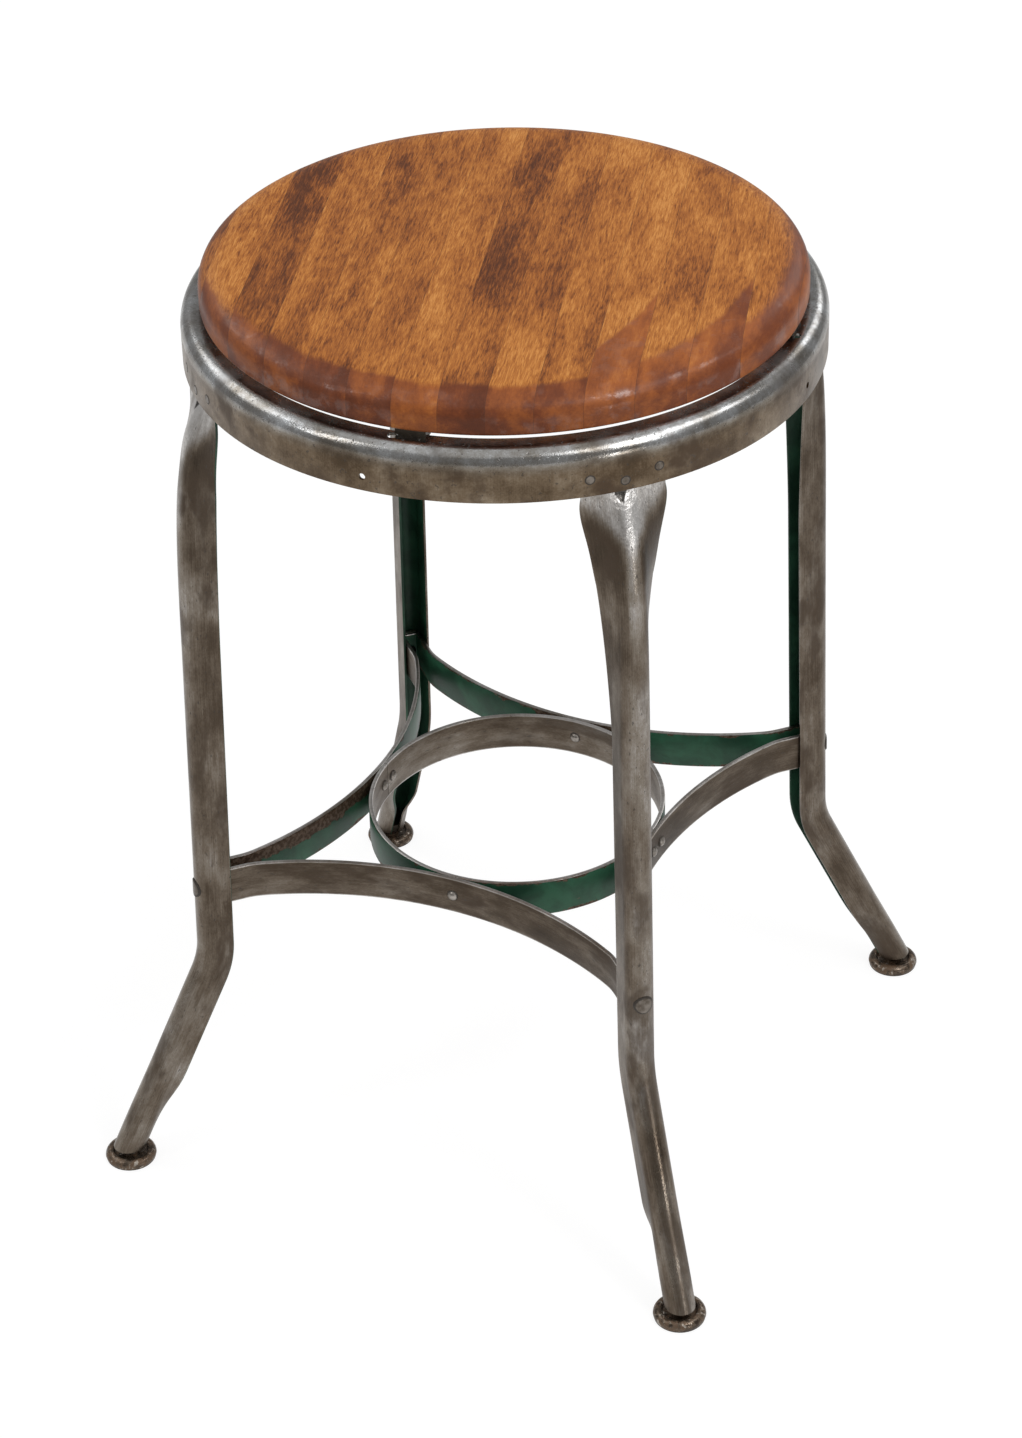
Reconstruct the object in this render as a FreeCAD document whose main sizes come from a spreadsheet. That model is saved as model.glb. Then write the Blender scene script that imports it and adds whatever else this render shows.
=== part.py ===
import FreeCAD, Part
import math
import os

import Sketcher
from FreeCAD import Placement, Rotation, Vector

# A steel work stool: a laminated wooden disc on a pressed steel ring, four folded channel legs,
# four curved braces that carry a foot ring, and self-levelling glides. The origin is on the floor
# under the middle of the seat, with +Z up. The legs stand on the diagonals of X and Y.

doc = FreeCAD.newDocument("Stool")
sheet = doc.addObject("Spreadsheet::Sheet", "Sizes")

driving_sizes = [
    ("stool_height", 606.6),
    ("seat_radius", 180.3),
    ("seat_thickness", 23.1),
    ("seat_side_round", 12.0),
    ("seat_crown_round", 30.0),
    ("seat_side_angle", 65.0),
    ("seat_lower_round", 2.0),
    ("board_count", 14),
    ("first_board_share", 0.4286),
    ("last_board_share", 1.1278),
    ("board_angle", 105.7),
    ("cleat_thickness", 4.2),
    ("cleat_width", 18.0),
    ("cleat_reach", 56.2),
    ("cleat_bearing", 3.3),
    ("cleat_angle", 7.5),
    ("clip_thickness", 2.0),
    ("clip_slack", 0.1),
    ("screw_inner_inset", 44.2),
    ("screw_outer_inset", 17.2),
    ("screw_radius", 2.1),
    ("screw_head_radius", 4.2),
    ("screw_head_height", 2.6),
    ("screw_bite", 14.0),
    ("ring_margin", 11.7),
    ("ring_height", 31.75),
    ("ring_sheet", 1.6),
    ("ring_shoulder", 9.5),
    ("flange_width", 17.8),
    ("flange_hole_radius", 3.0),
    ("flange_hole_inset", 5.5),
    ("flange_hole_angle", 4.4),
    ("apron_hole_radius", 2.0),
    ("apron_hole_rise", 9.0),
    ("apron_rivet_rise", 6.5),
    ("apron_rivet_lift", 4.2),
    ("apron_rivet_angle", 6.2),
    ("apron_rivet_radius", 2.4),
    ("apron_rivet_face_radius", 3.1),
    ("apron_rivet_sink", 1.1),
    ("apron_rivet_dome_radius", 4.2),
    ("apron_rivet_dome_height", 1.9),
    ("leg_sheet", 1.6),
    ("leg_strip_width", 51.0),
    ("leg_bend_radius", 8.4),
    ("leg_tab_angle", 86.0),
    ("leg_tab_top_drop", 11.0),
    ("leg_tab_slack", 0.05),
    ("leg_tab_end_drop", 2.5),
    ("leg_channel_top", 382.0),
    ("leg_upper_angle", 1.47),
    ("leg_knee_height", 147.0),
    ("leg_knee_radius", 60.0),
    ("leg_shank_angle", 25.4),
    ("leg_foot_bend_radius", 8.9),
    ("leg_foot_angle", 58.0),
    ("leg_closing_length", 52.0),
    ("leg_round_length", 15.0),
    ("leg_end_height", 9.5),
    ("leg_wing_extra", 3.2),
    ("leg_wing_share", 0.7),
    ("leg_dent_radius", 4.6),
    ("leg_dent_reach", 1.0),
    ("leg_dent_depth", 2.0),
    ("leg_dent_drop", 4.2),
    ("foot_spread", 82.6),
    ("leg_end_offset", 0.2),
    ("brace_height", 25.4),
    ("brace_middle_height", 202.0),
    ("brace_thickness", 2.6),
    ("brace_end_angle", 15.0),
    ("brace_end_radius", 40.0),
    ("brace_tab_bend", 0.8),
    ("brace_side_slack", 0.8),
    ("brace_apex_slack", 2.4),
    ("brace_lap_slack", 0.1),
    ("brace_outer_tab_reach", 5.0),
    ("brace_inner_tab_reach", 3.6),
    ("foot_ring_share", 0.48385),
    ("foot_ring_butt_gap", 0.5),
    ("leg_rivet_radius", 2.4),
    ("leg_rivet_head_radius", 6.3),
    ("leg_rivet_head_height", 0.9),
    ("leg_rivet_tail_radius", 3.3),
    ("leg_rivet_tail_height", 2.2),
    ("ring_rivet_radius", 2.0),
    ("ring_rivet_head_radius", 3.7),
    ("ring_rivet_head_height", 2.3),
    ("ring_rivet_spacing", 12.6),
    ("glide_radius", 16.6),
    ("glide_height", 6.5),
    ("glide_sheet", 1.2),
    ("glide_crest_round", 4.1),
    ("glide_lip_round", 1.4),
    ("glide_rim_tuck", 0.4),
    ("glide_floor_height", 3.0),
    ("glide_well_round", 1.8),
    ("sole_thickness", 1.0),
    ("sole_inset", 0.1),
    ("ball_radius", 3.2),
    ("ball_height", 4.5),
    ("ball_slack", 0.05),
    ("liner_wall", 1.75),
    ("liner_top", 1.2),
    ("liner_bottom", 2.2),
    ("socket_top", 1.4),
    ("stud_neck_radius", 1.9),
    ("stud_collar_radius", 3.4),
    ("stud_collar_height", 0.8),
    ("stud_shank_radius", 2.4),
    ("stud_shank_length", 9.0),
    ("plug_length", 13.0),
]
for row, (name, number) in enumerate(driving_sizes, start=1):
    sheet.set(f"A{row}", name)
    sheet.set(f"B{row}", str(number))
    sheet.setAlias(f"B{row}", name)
doc.recompute()


class Size:
    """A length: the number it has now, and the sheet expression that it is worked out by."""

    def __init__(self, number, text):
        self.number = number
        self.text = text

    def __add__(self, other):
        other = as_size(other)
        return Size(self.number + other.number, f"({self.text} + {other.text})")

    def __radd__(self, other):
        return as_size(other) + self

    def __sub__(self, other):
        other = as_size(other)
        return Size(self.number - other.number, f"({self.text} - {other.text})")

    def __rsub__(self, other):
        return as_size(other) - self

    def __mul__(self, other):
        other = as_size(other)
        return Size(self.number * other.number, f"({self.text} * {other.text})")

    def __rmul__(self, other):
        return as_size(other) * self

    def __truediv__(self, other):
        other = as_size(other)
        return Size(self.number / other.number, f"({self.text} / {other.text})")

    def __neg__(self):
        return 0.0 - self


def as_size(value):
    return value if isinstance(value, Size) else Size(float(value), repr(float(value)))


def size(name):
    """The driving size of that name in the sheet."""
    return Size(float(sheet.get(name)), f"Sizes.{name}")


def sine(angle):
    return Size(math.sin(math.radians(angle.number)), f"sin({angle.text} * 1 deg)")


def cosine(angle):
    return Size(math.cos(math.radians(angle.number)), f"cos({angle.text} * 1 deg)")


def other_leg(hypotenuse, side):
    """The second short side of a right-angled triangle."""
    value = math.sqrt(hypotenuse.number**2 - side.number**2)
    return Size(value, f"sqrt({hypotenuse.text} ^ 2 - {side.text} ^ 2)")


def bind(thing, prop, value):
    """Sets a property to a size's number and ties it to the sheet."""
    value = as_size(value)
    thing.setExpression(prop, value.text)


# Heights and radii that several pieces share
seat_top = size("stool_height")
seat_bottom = seat_top - size("seat_thickness")
ring_outer = size("seat_radius") + size("ring_margin")
ring_top = seat_bottom - size("cleat_thickness")
ring_bottom = ring_top - size("ring_height")
flange_edge = ring_outer - size("flange_width")
flange_hole_circle = flange_edge + size("flange_hole_inset")
apron_inner = ring_outer - size("ring_sheet")
foot_circle = ring_outer + size("foot_spread")
cleat_inner = flange_edge - size("cleat_reach")
brace_bottom = size("brace_middle_height") - size("brace_height") / 2
foot_ring_inner = ring_outer * size("foot_ring_share")
foot_ring_outer = foot_ring_inner + size("brace_thickness")
ball_middle = size("ball_height")
quarter_turns = (0, 1, 2, 3)
leg_names = ("front", "right", "back", "left")
leg_headings = {"front": -45.0, "right": 45.0, "back": 135.0, "left": 225.0}


def about_axis(heading):
    """A turn about the stool's upright axis."""
    return Placement(Vector(0, 0, 0), Rotation(Vector(0, 0, 1), heading))


def origin_plane(body, role):
    return next(item for item in body.Origin.OriginFeatures if item.Role == role)


def new_body(label):
    body = doc.addObject("PartDesign::Body", "Body_" + label)
    body.Label = label
    return body


def new_sketch(body, role, heading=0.0):
    """A sketch on one of the body's own planes, turned about the upright axis if asked."""
    sketch = body.newObject("Sketcher::SketchObject", "Sketch")
    sketch.AttachmentSupport = [(origin_plane(body, role), "")]
    sketch.MapMode = "FlatFace"
    if heading:
        turn = Rotation(Vector(0, 1, 0), heading)
        sketch.AttachmentOffset = Placement(Vector(0, 0, 0), turn)
    return sketch


def hold_point(sketch, edge, end, across, up):
    """Holds one end of an edge at (across, up) from the sketch's origin."""
    for kind, axis, value in (("DistanceX", -2, as_size(across)), ("DistanceY", -1, as_size(up))):
        if value.number == 0.0:
            sketch.addConstraint(Sketcher.Constraint("PointOnObject", edge, end, axis))
            continue
        rule = Sketcher.Constraint(kind, -1, 1, edge, end, value.number)
        index = sketch.addConstraint(rule)
        sketch.setExpression(f"Constraints[{index}]", value.text)


def arc_between(start, finish, radius, turn):
    """The short arc from start to finish, turning left for +1 and right for -1."""
    chord = finish - start
    half = chord.Length / 2
    rise = math.sqrt(max(radius * radius - half * half, 0.0))
    left = Vector(-chord.y, chord.x, 0).normalize()
    middle = start + chord * 0.5 + left * (rise * turn)
    first, last = (start, finish) if turn > 0 else (finish, start)
    a = math.atan2(first.y - middle.y, first.x - middle.x)
    b = math.atan2(last.y - middle.y, last.x - middle.x)
    circle = Part.Circle(middle, Vector(0, 0, 1), radius)
    return Part.ArcOfCircle(circle, a, b if b > a else b + 2 * math.pi)


def draw_outline(sketch, corners, rounds):
    """A closed outline through the corners. rounds gives (radius, turn) of the arcs, by corner."""
    count = len(corners)
    spots = [Vector(as_size(x).number, as_size(y).number, 0) for x, y in corners]
    ends = []
    for i in range(count):
        start, finish = spots[i], spots[(i + 1) % count]
        if i in rounds:
            radius, turn = rounds[i]
            edge = sketch.addGeometry(arc_between(start, finish, as_size(radius).number, turn))
            ends.append((edge, 1, 2) if turn > 0 else (edge, 2, 1))
        else:
            ends.append((sketch.addGeometry(Part.LineSegment(start, finish)), 1, 2))
    for i in range(count):
        edge, first, last = ends[i]
        following, next_first, _ = ends[(i + 1) % count]
        joined = Sketcher.Constraint("Coincident", edge, last, following, next_first)
        sketch.addConstraint(joined)
    for i in range(count):
        edge, first, _ = ends[i]
        hold_point(sketch, edge, first, *corners[i])
        if i in rounds:
            radius = as_size(rounds[i][0])
            index = sketch.addConstraint(Sketcher.Constraint("Radius", edge, radius.number))
            sketch.setExpression(f"Constraints[{index}]", radius.text)


def turned(label, corners, rounds=None, full_turn=360.0):
    """A turned piece: its outline in X and Z, spun about its own Z axis."""
    body = new_body(label)
    sketch = new_sketch(body, "XZ_Plane")
    draw_outline(sketch, corners, rounds or {})
    spin = body.newObject("PartDesign::Revolution", "Spin")
    spin.Profile = sketch
    spin.ReferenceAxis = (sketch, ["V_Axis"])
    spin.Angle = full_turn
    return body


def feature(label, shape, placement=None):
    """A piece whose form is worked out here from the sheet's sizes."""
    thing = doc.addObject("Part::Feature", "Form_" + label)
    thing.Label = label
    thing.Shape = shape
    if placement is not None:
        thing.Placement = placement
    return thing


def cut(label, base, tool):
    thing = doc.addObject("Part::Cut", "Cut_" + label)
    thing.Label = label
    thing.Base = base
    thing.Tool = tool
    return thing


# Leg form

def leg_section(radius, opening, extra=0.0):
    """The folded strip's flange length, and how far out its tips lie from the bend's centre.
    Extra is how much wider the strip is than usual."""
    strip = size("leg_strip_width").number + extra
    tilt = math.radians(opening)
    flange = (strip - radius * (math.pi - 2 * tilt)) / 2
    tip = radius * math.sin(tilt) - flange * math.cos(tilt)
    return flange, tip


def leg_wire(across, height, lean, radius, opening, extra=0.0):
    """The closed outline of the channel, square to the leg, with its bend's centre at (across,
    height). Opening 0 is a U, 90 a flat strip, and less than 0 closes towards a round."""
    half = size("leg_sheet").number / 2
    tilt = math.radians(opening)
    flange, _ = leg_section(radius, opening, extra)
    out = Vector(math.cos(math.radians(lean)), 0, math.sin(math.radians(lean)))
    side = Vector(0, 1, 0)
    centre = Vector(across, 0, height)

    def spot(depth, width):
        return centre + out * depth + side * width

    def flange_ends(offset, hand):
        bend_depth = (radius + offset) * math.sin(tilt)
        bend_width = (radius + offset) * math.cos(tilt)
        tip_depth = bend_depth - flange * math.cos(tilt)
        tip_width = bend_width + flange * math.sin(tilt)
        return spot(bend_depth, hand * bend_width), spot(tip_depth, hand * tip_width)

    outer_bend, outer_tip = flange_ends(half, 1)
    outer_bend_far, outer_tip_far = flange_ends(half, -1)
    inner_bend, inner_tip = flange_ends(-half, 1)
    inner_bend_far, inner_tip_far = flange_ends(-half, -1)
    return Part.Wire([
        Part.LineSegment(outer_tip, outer_bend).toShape(),
        Part.Arc(outer_bend, spot(radius + half, 0), outer_bend_far).toShape(),
        Part.LineSegment(outer_bend_far, outer_tip_far).toShape(),
        Part.LineSegment(outer_tip_far, inner_tip_far).toShape(),
        Part.LineSegment(inner_tip_far, inner_bend_far).toShape(),
        Part.Arc(inner_bend_far, spot(radius - half, 0), inner_bend).toShape(),
        Part.LineSegment(inner_bend, inner_tip).toShape(),
        Part.LineSegment(inner_tip, outer_tip).toShape(),
    ])


def knee_corner():
    """Where the lines of the upper leg and the shank would meet."""
    height = size("leg_knee_height").number
    return shank_line(height), height


def upper_line(height):
    """How far out the upper leg's bend centre is at a height."""
    across, corner_height = knee_corner()
    lean = math.radians(size("leg_upper_angle").number)
    return across - (height - corner_height) * math.tan(lean)


def shank_line(height):
    """How far out the shank's bend centre is at a height."""
    lean = math.radians(size("leg_shank_angle").number)
    rise = height - size("leg_end_height").number
    return foot_circle.number + size("leg_end_offset").number - rise * math.tan(lean)


def leg_form():
    """One leg with its bulge along +X: flat tab, opening channel, channel, knee and shank."""
    bend = size("leg_bend_radius").number
    sheet_half = size("leg_sheet").number / 2
    tab_opening = size("leg_tab_angle").number
    upper_lean = size("leg_upper_angle").number
    shank_lean = size("leg_shank_angle").number
    tab_top = ring_top.number - size("leg_tab_top_drop").number
    tab_end = ring_bottom.number - size("leg_tab_end_drop").number
    channel_top = size("leg_channel_top").number

    _, tab_tip = leg_section(bend, tab_opening)
    tab_bend = apron_inner.number - size("leg_tab_slack").number - sheet_half - bend
    tab_tip_across = tab_bend + tab_tip
    _, channel_tip = leg_section(bend, 0)
    channel_tip_across = upper_line(channel_top) + channel_tip

    tab = Part.makeLoft(
        [leg_wire(tab_bend, height, 0, bend, tab_opening) for height in (tab_top, tab_end)],
        True, True)

    wing_start = size("leg_wing_share").number

    def opening_wire(share):
        """A section of the stretch where the tab closes into the channel, share 1 at the tab.
        The strip is a little wider in its upper part, where the two wings stand out."""
        height = channel_top + (tab_end - channel_top) * share
        opening = tab_opening * (0.62 * share**1.25 + 0.38 * share**5)
        tip_across = channel_tip_across + (tab_tip_across - channel_tip_across) * share
        up_wing = max(0.0, (share - wing_start) / (1 - wing_start))
        extra = size("leg_wing_extra").number * 256 / 27 * up_wing**3 * (1 - up_wing)
        _, tip = leg_section(bend, opening, extra)
        lean = upper_lean * (1 - share)
        return leg_wire(tip_across - tip, height, lean, bend, opening, extra)

    steps = (1, 0.96, 0.9, 0.82, 0.72, 0.6, 0.47, 0.34, 0.2, 0.1, 0)
    flare = Part.makeLoft([opening_wire(share) for share in steps], True, False)

    corner_across, corner_height = knee_corner()
    knee_turn = shank_lean - upper_lean
    knee_radius = size("leg_knee_radius").number
    reach = knee_radius * math.tan(math.radians(knee_turn / 2))
    knee_top = corner_height + reach * math.cos(math.radians(upper_lean))
    knee_end = corner_height - reach * math.cos(math.radians(shank_lean))
    channel = Part.makeLoft([
        leg_wire(upper_line(channel_top), channel_top, upper_lean, bend, 0),
        leg_wire(upper_line(knee_top), knee_top, upper_lean, bend, 0),
    ], True, True)
    knee_start = leg_wire(upper_line(knee_top), knee_top, upper_lean, bend, 0)
    out = Vector(math.cos(math.radians(upper_lean)), 0, math.sin(math.radians(upper_lean)))
    knee_centre = Vector(upper_line(knee_top), 0, knee_top) + out * knee_radius
    knee = Part.Face(knee_start).revolve(knee_centre, Vector(0, -1, 0), knee_turn)

    slope = math.cos(math.radians(shank_lean))
    end_height = size("leg_end_height").number
    round_top = end_height + size("leg_round_length").number * slope
    closing_top = round_top + size("leg_closing_length").number * slope
    shank = Part.makeLoft([
        leg_wire(shank_line(height), height, shank_lean, bend, 0)
        for height in (knee_end, closing_top)
    ], True, True)
    foot_bend = size("leg_foot_bend_radius").number
    foot_closing = size("leg_foot_angle").number

    def closing_wire(share):
        """A section of the stretch where the channel closes to the round foot, share 1 there."""
        ease = share * share * (3 - 2 * share)
        height = closing_top + (round_top - closing_top) * share
        radius = bend + (foot_bend - bend) * ease
        return leg_wire(shank_line(height), height, shank_lean, radius, -foot_closing * ease)

    closing = Part.makeLoft([closing_wire(step / 6) for step in range(7)], True, False)
    below = end_height - 2 * foot_bend
    foot = Part.makeLoft([
        leg_wire(shank_line(height), height, shank_lean, foot_bend, -foot_closing)
        for height in (round_top, below)
    ], True, True)
    leg = tab.fuse([flare, channel, knee, shank, closing, foot])
    reach = foot_circle.number
    under_floor = Part.makeBox(2 * reach, 2 * reach, end_height + reach, Vector(0, -reach, -reach))
    leg = leg.cut([under_floor, leg_dent()])
    return leg.Solids[0] if len(leg.Solids) == 1 else leg


def leg_dent():
    """The pinch that the folding leaves in the sheet where the ridge starts under the apron."""
    radius, reach = size("leg_dent_radius").number, size("leg_dent_reach").number
    depth = size("leg_dent_depth").number
    face = ring_outer.number + reach
    height = ring_bottom.number - size("leg_dent_drop").number
    mouth = Part.makeCylinder(radius, depth, Vector(face, 0, height), Vector(1, 0, 0))
    tip = Part.makeCone(radius, 0, depth, Vector(face, 0, height), Vector(-1, 0, 0))
    return mouth.fuse(tip)


# Rivets and screws

def pin_outline(shank_radius, grip, head_radius, head_height, tail_radius, tail_height):
    """A solid of revolution along +Z from 0 to grip, with a domed head at each end."""
    def dome(radius, height):
        return (radius * radius + height * height) / (2 * height)

    head_round = dome(head_radius, head_height)
    tail_round = dome(tail_radius, tail_height)
    top = Part.makeSphere(head_round, Vector(0, 0, grip + head_height - head_round))
    top = top.common(Part.makeCylinder(head_radius, head_height, Vector(0, 0, grip)))
    low = Part.makeSphere(tail_round, Vector(0, 0, tail_round - tail_height))
    low = low.common(Part.makeCylinder(tail_radius, tail_height, Vector(0, 0, -tail_height)))
    shank = Part.makeCylinder(shank_radius, grip)
    return top.fuse([low, shank]).removeSplitter()


def along_radius(shape, heading, near, height, sideways=0.0):
    """Lays a piece that points along +Z out along a heading, from a distance near the axis."""
    lay = Placement(Vector(near, sideways, height), Rotation(Vector(0, 1, 0), 90))
    moved = shape.copy()
    moved.Placement = about_axis(heading).multiply(lay)
    return moved


def apron_rivets():
    """Three rivets per leg, their countersunk faces flush with the apron."""
    outer = ring_outer.number
    seat = apron_inner.number - size("leg_sheet").number - size("leg_tab_slack").number
    sink = size("apron_rivet_sink").number
    shank = size("apron_rivet_radius").number
    face = Part.makeCone(shank, size("apron_rivet_face_radius").number, sink,
                         Vector(0, 0, outer - seat - sink))
    tail_radius = size("apron_rivet_dome_radius").number
    tail_height = size("apron_rivet_dome_height").number
    tail_round = (tail_radius**2 + tail_height**2) / (2 * tail_height)
    tail = Part.makeSphere(tail_round, Vector(0, 0, tail_round - tail_height))
    tail = tail.common(Part.makeCylinder(tail_radius, tail_height, Vector(0, 0, -tail_height)))
    pin = Part.makeCylinder(shank, outer - seat).fuse([face, tail]).removeSplitter()
    low = ring_bottom.number + size("apron_rivet_rise").number
    lift = size("apron_rivet_lift").number
    spread = size("apron_rivet_angle").number
    return [
        along_radius(pin, leg_headings[name] + spread * place, seat, low + lift * abs(place))
        for name in leg_names for place in (-1, 0, 1)
    ]


def channel_apex(height):
    """How far out the middle of the leg's outer face is at a height of the upper leg."""
    lean = math.radians(size("leg_upper_angle").number)
    outer_bend = size("leg_bend_radius").number + size("leg_sheet").number / 2
    return upper_line(height) + outer_bend / math.cos(lean)


def tab_faces():
    """Distances from the axis of the lapped tabs' faces, from the outermost face inwards."""
    inner_apex = (upper_line(size("brace_middle_height").number)
                  + size("leg_bend_radius").number - size("leg_sheet").number / 2)
    outer_tab = inner_apex - size("brace_apex_slack").number
    outer_tab_back = outer_tab - size("brace_thickness").number
    inner_tab = outer_tab_back - size("brace_lap_slack").number
    return outer_tab, outer_tab_back, inner_tab, inner_tab - size("brace_thickness").number


def leg_rivets():
    """One rivet per leg through the channel's round and both lapped tabs. Its broad flat head is
    hammered down to the round of the leg."""
    height = size("brace_middle_height").number
    lean = size("leg_upper_angle").number
    outer_bend = size("leg_bend_radius").number + size("leg_sheet").number / 2
    head_height = size("leg_rivet_head_height").number
    head_radius = size("leg_rivet_head_radius").number
    apex = channel_apex(height)
    seat = tab_faces()[3]
    axis = Vector(-math.sin(math.radians(lean)), 0, math.cos(math.radians(lean)))
    base = Vector(upper_line(height), 0, height) - axis * (2 * head_radius)
    cap = Part.makeCylinder(outer_bend + head_height, 4 * head_radius, base, axis)
    cap = cap.cut(Part.makeCylinder(outer_bend, 4 * head_radius, base, axis))
    punch = Part.makeCylinder(head_radius, 2 * outer_bend, Vector(upper_line(height), 0, height),
                              Vector(1, 0, 0))
    cap = cap.common(punch)
    shank = Part.makeCylinder(size("leg_rivet_radius").number, apex - seat + head_height / 2,
                              Vector(seat, 0, height), Vector(1, 0, 0))
    tail_height = size("leg_rivet_tail_height").number
    tail = Part.makeCylinder(size("leg_rivet_tail_radius").number, tail_height,
                             Vector(seat - tail_height, 0, height), Vector(1, 0, 0))
    tail = tail.makeFillet(tail_height / 2, [tail.Edges[2]])
    rivet = cap.fuse([shank, tail]).removeSplitter()
    rivets = []
    for name in leg_names:
        copy = rivet.copy()
        copy.Placement = about_axis(leg_headings[name])
        rivets.append(copy)
    return rivets


def brace_arc_radius():
    """The radius of the brace's long curve, so that its ends run into the leg channels."""
    turn = math.radians(45.0 - size("brace_end_angle").number)
    both = math.cos(turn) + math.sin(turn)
    middle = foot_ring_outer.number + size("brace_thickness").number / 2
    end_curve = size("brace_end_radius").number * (math.sqrt(2.0) - both)
    return (middle - brace_offset() * math.sqrt(2.0) - end_curve) / (both - 1.0)


def brace_offset():
    """How far a brace's centre line runs beside the middle plane of the leg channel."""
    inner_half = size("leg_bend_radius").number - size("leg_sheet").number / 2
    return inner_half - size("brace_side_slack").number - size("brace_thickness").number / 2


def ring_rivets():
    """The foot ring's rivets: a pair over each butt of the half hoops, one at each other brace."""
    thickness = size("brace_thickness").number
    hoop = foot_ring_inner.number
    arc = brace_arc_radius() - thickness / 2
    height = size("brace_middle_height").number
    half_spacing = size("ring_rivet_spacing").number / 2
    rivets = []
    for turn in quarter_turns:
        for sideways in ((-half_spacing, half_spacing) if turn % 2 == 0 else (0.0,)):
            near = math.sqrt(hoop**2 - sideways**2)
            far = foot_ring_outer.number + thickness + arc - math.sqrt(arc**2 - sideways**2)
            pin = pin_outline(
                size("ring_rivet_radius").number, far - near,
                size("ring_rivet_head_radius").number, size("ring_rivet_head_height").number,
                size("ring_rivet_head_radius").number, size("ring_rivet_head_height").number)
            rivets.append(along_radius(pin, 90.0 * turn, near, height, sideways))
    return rivets


def seat_screws():
    """Two wood screws per cleat, up through clip and cleat into the seat."""
    head_seat = ring_top.number - size("clip_thickness").number
    head_height = size("screw_head_height").number
    head_radius = size("screw_head_radius").number
    length = seat_bottom.number - head_seat + size("screw_bite").number
    shank = Part.makeCylinder(size("screw_radius").number, length, Vector(0, 0, head_seat))
    head = Part.makeCylinder(head_radius, head_height, Vector(0, 0, head_seat - head_height))
    head = head.makeFillet(head_height * 0.6, [head.Edges[2]])
    screw = shank.fuse(head).removeSplitter()
    screws = []
    for turn in quarter_turns:
        for inset in (size("screw_inner_inset"), size("screw_outer_inset")):
            copy = screw.copy()
            place = Placement(Vector((flange_edge - inset).number, 0, 0), Rotation())
            heading = 90.0 * turn + size("cleat_angle").number
            copy.Placement = about_axis(heading).multiply(place)
            screws.append(copy)
    return screws


# Seat

def seat_disc():
    """The glued-up disc before its screw holes: a crowned edge, a small round underneath."""
    side, crown = size("seat_side_round"), size("seat_crown_round")
    turn = size("seat_side_angle")
    low = size("seat_lower_round")
    side_start = seat_top - side * sine(turn) - crown * (1 - sine(turn))
    meet_across = size("seat_radius") - side * (1 - cosine(turn))
    meet_height = side_start + side * sine(turn)
    corners = [
        (0, seat_bottom),
        (size("seat_radius") - low, seat_bottom),
        (size("seat_radius"), seat_bottom + low),
        (size("seat_radius"), side_start),
        (meet_across, meet_height),
        (meet_across - crown * cosine(turn), seat_top),
        (0, seat_top),
    ]
    rounds = {1: (low, 1), 3: (side, 1), 4: (crown, 1)}
    return turned("seat_disc", corners, rounds)


def seat_boards(disc, screws):
    """The disc parted along its glue lines into staves of one width, but for the two edge ones."""
    drilled = cut("seat_disc_drilled", disc, screws)
    radius = size("seat_radius")
    count = int(size("board_count").number)
    first_share, last_share = size("first_board_share"), size("last_board_share")
    width = 2 * radius / (size("board_count") - 2 + first_share + last_share)
    first = first_share * width - radius
    spare = size("seat_thickness")
    boards = []
    for index in range(count):
        left = first + width * (index - 1) if index else -radius - spare
        right = first + width * index if index < count - 1 else radius + spare
        box = doc.addObject("Part::Box", f"Stave_{index + 1:02d}")
        bind(box, "Length", right - left)
        bind(box, "Width", 2 * (radius + spare))
        bind(box, "Height", 3 * spare)
        corner = Vector(left.number, -(radius + spare).number, (seat_bottom - spare).number)
        stave = Placement(corner, Rotation())
        heading = size("board_angle").number - 90.0
        box.Placement = about_axis(heading).multiply(stave)
        board = doc.addObject("Part::Common", f"Board_{index + 1:02d}")
        board.Label = f"seat_board_{index + 1:02d}"
        board.Base = drilled
        board.Tool = box
        boards.append(board)
    return boards


# Seat ring and what holds the seat to it

def seat_ring(rivets):
    """The pressed ring: apron, rounded shoulder and inward flange, with its open holes."""
    outer, thick = ring_outer, size("ring_sheet")
    shoulder = size("ring_shoulder")
    inner_round = shoulder - thick
    corners = [
        (outer, ring_bottom),
        (outer, ring_top - shoulder),
        (outer - shoulder, ring_top),
        (flange_edge, ring_top),
        (flange_edge, ring_top - thick),
        (outer - shoulder, ring_top - thick),
        (apron_inner, ring_top - shoulder),
        (apron_inner, ring_bottom),
    ]
    body = turned("seat_ring_blank", corners, {1: (shoulder, 1), 5: (inner_round, -1)})
    doc.recompute()

    flange_holes = new_sketch(body, "XY_Plane")
    bind(flange_holes, "AttachmentOffset.Base.z", ring_top + 1)
    circle_at(flange_holes, flange_hole_circle * cosine(size("flange_hole_angle")),
              flange_hole_circle * sine(size("flange_hole_angle")),
              size("flange_hole_radius"))
    around = pierced(body, flange_holes, 4 * thick, False)
    body.Tip = around
    doc.recompute()

    apron_holes = new_sketch(body, "YZ_Plane")
    circle_at(apron_holes, 0, ring_bottom + size("apron_hole_rise"), size("apron_hole_radius"))
    around = pierced(body, apron_holes, outer + thick, True)
    body.Tip = around
    return cut("seat_ring", body, rivets)


def circle_at(sketch, across, up, radius):
    spot = Vector(as_size(across).number, as_size(up).number, 0)
    edge = sketch.addGeometry(Part.Circle(spot, Vector(0, 0, 1), radius.number))
    hold_point(sketch, edge, 3, across, up)
    index = sketch.addConstraint(Sketcher.Constraint("Radius", edge, radius.number))
    sketch.setExpression(f"Constraints[{index}]", radius.text)


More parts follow.
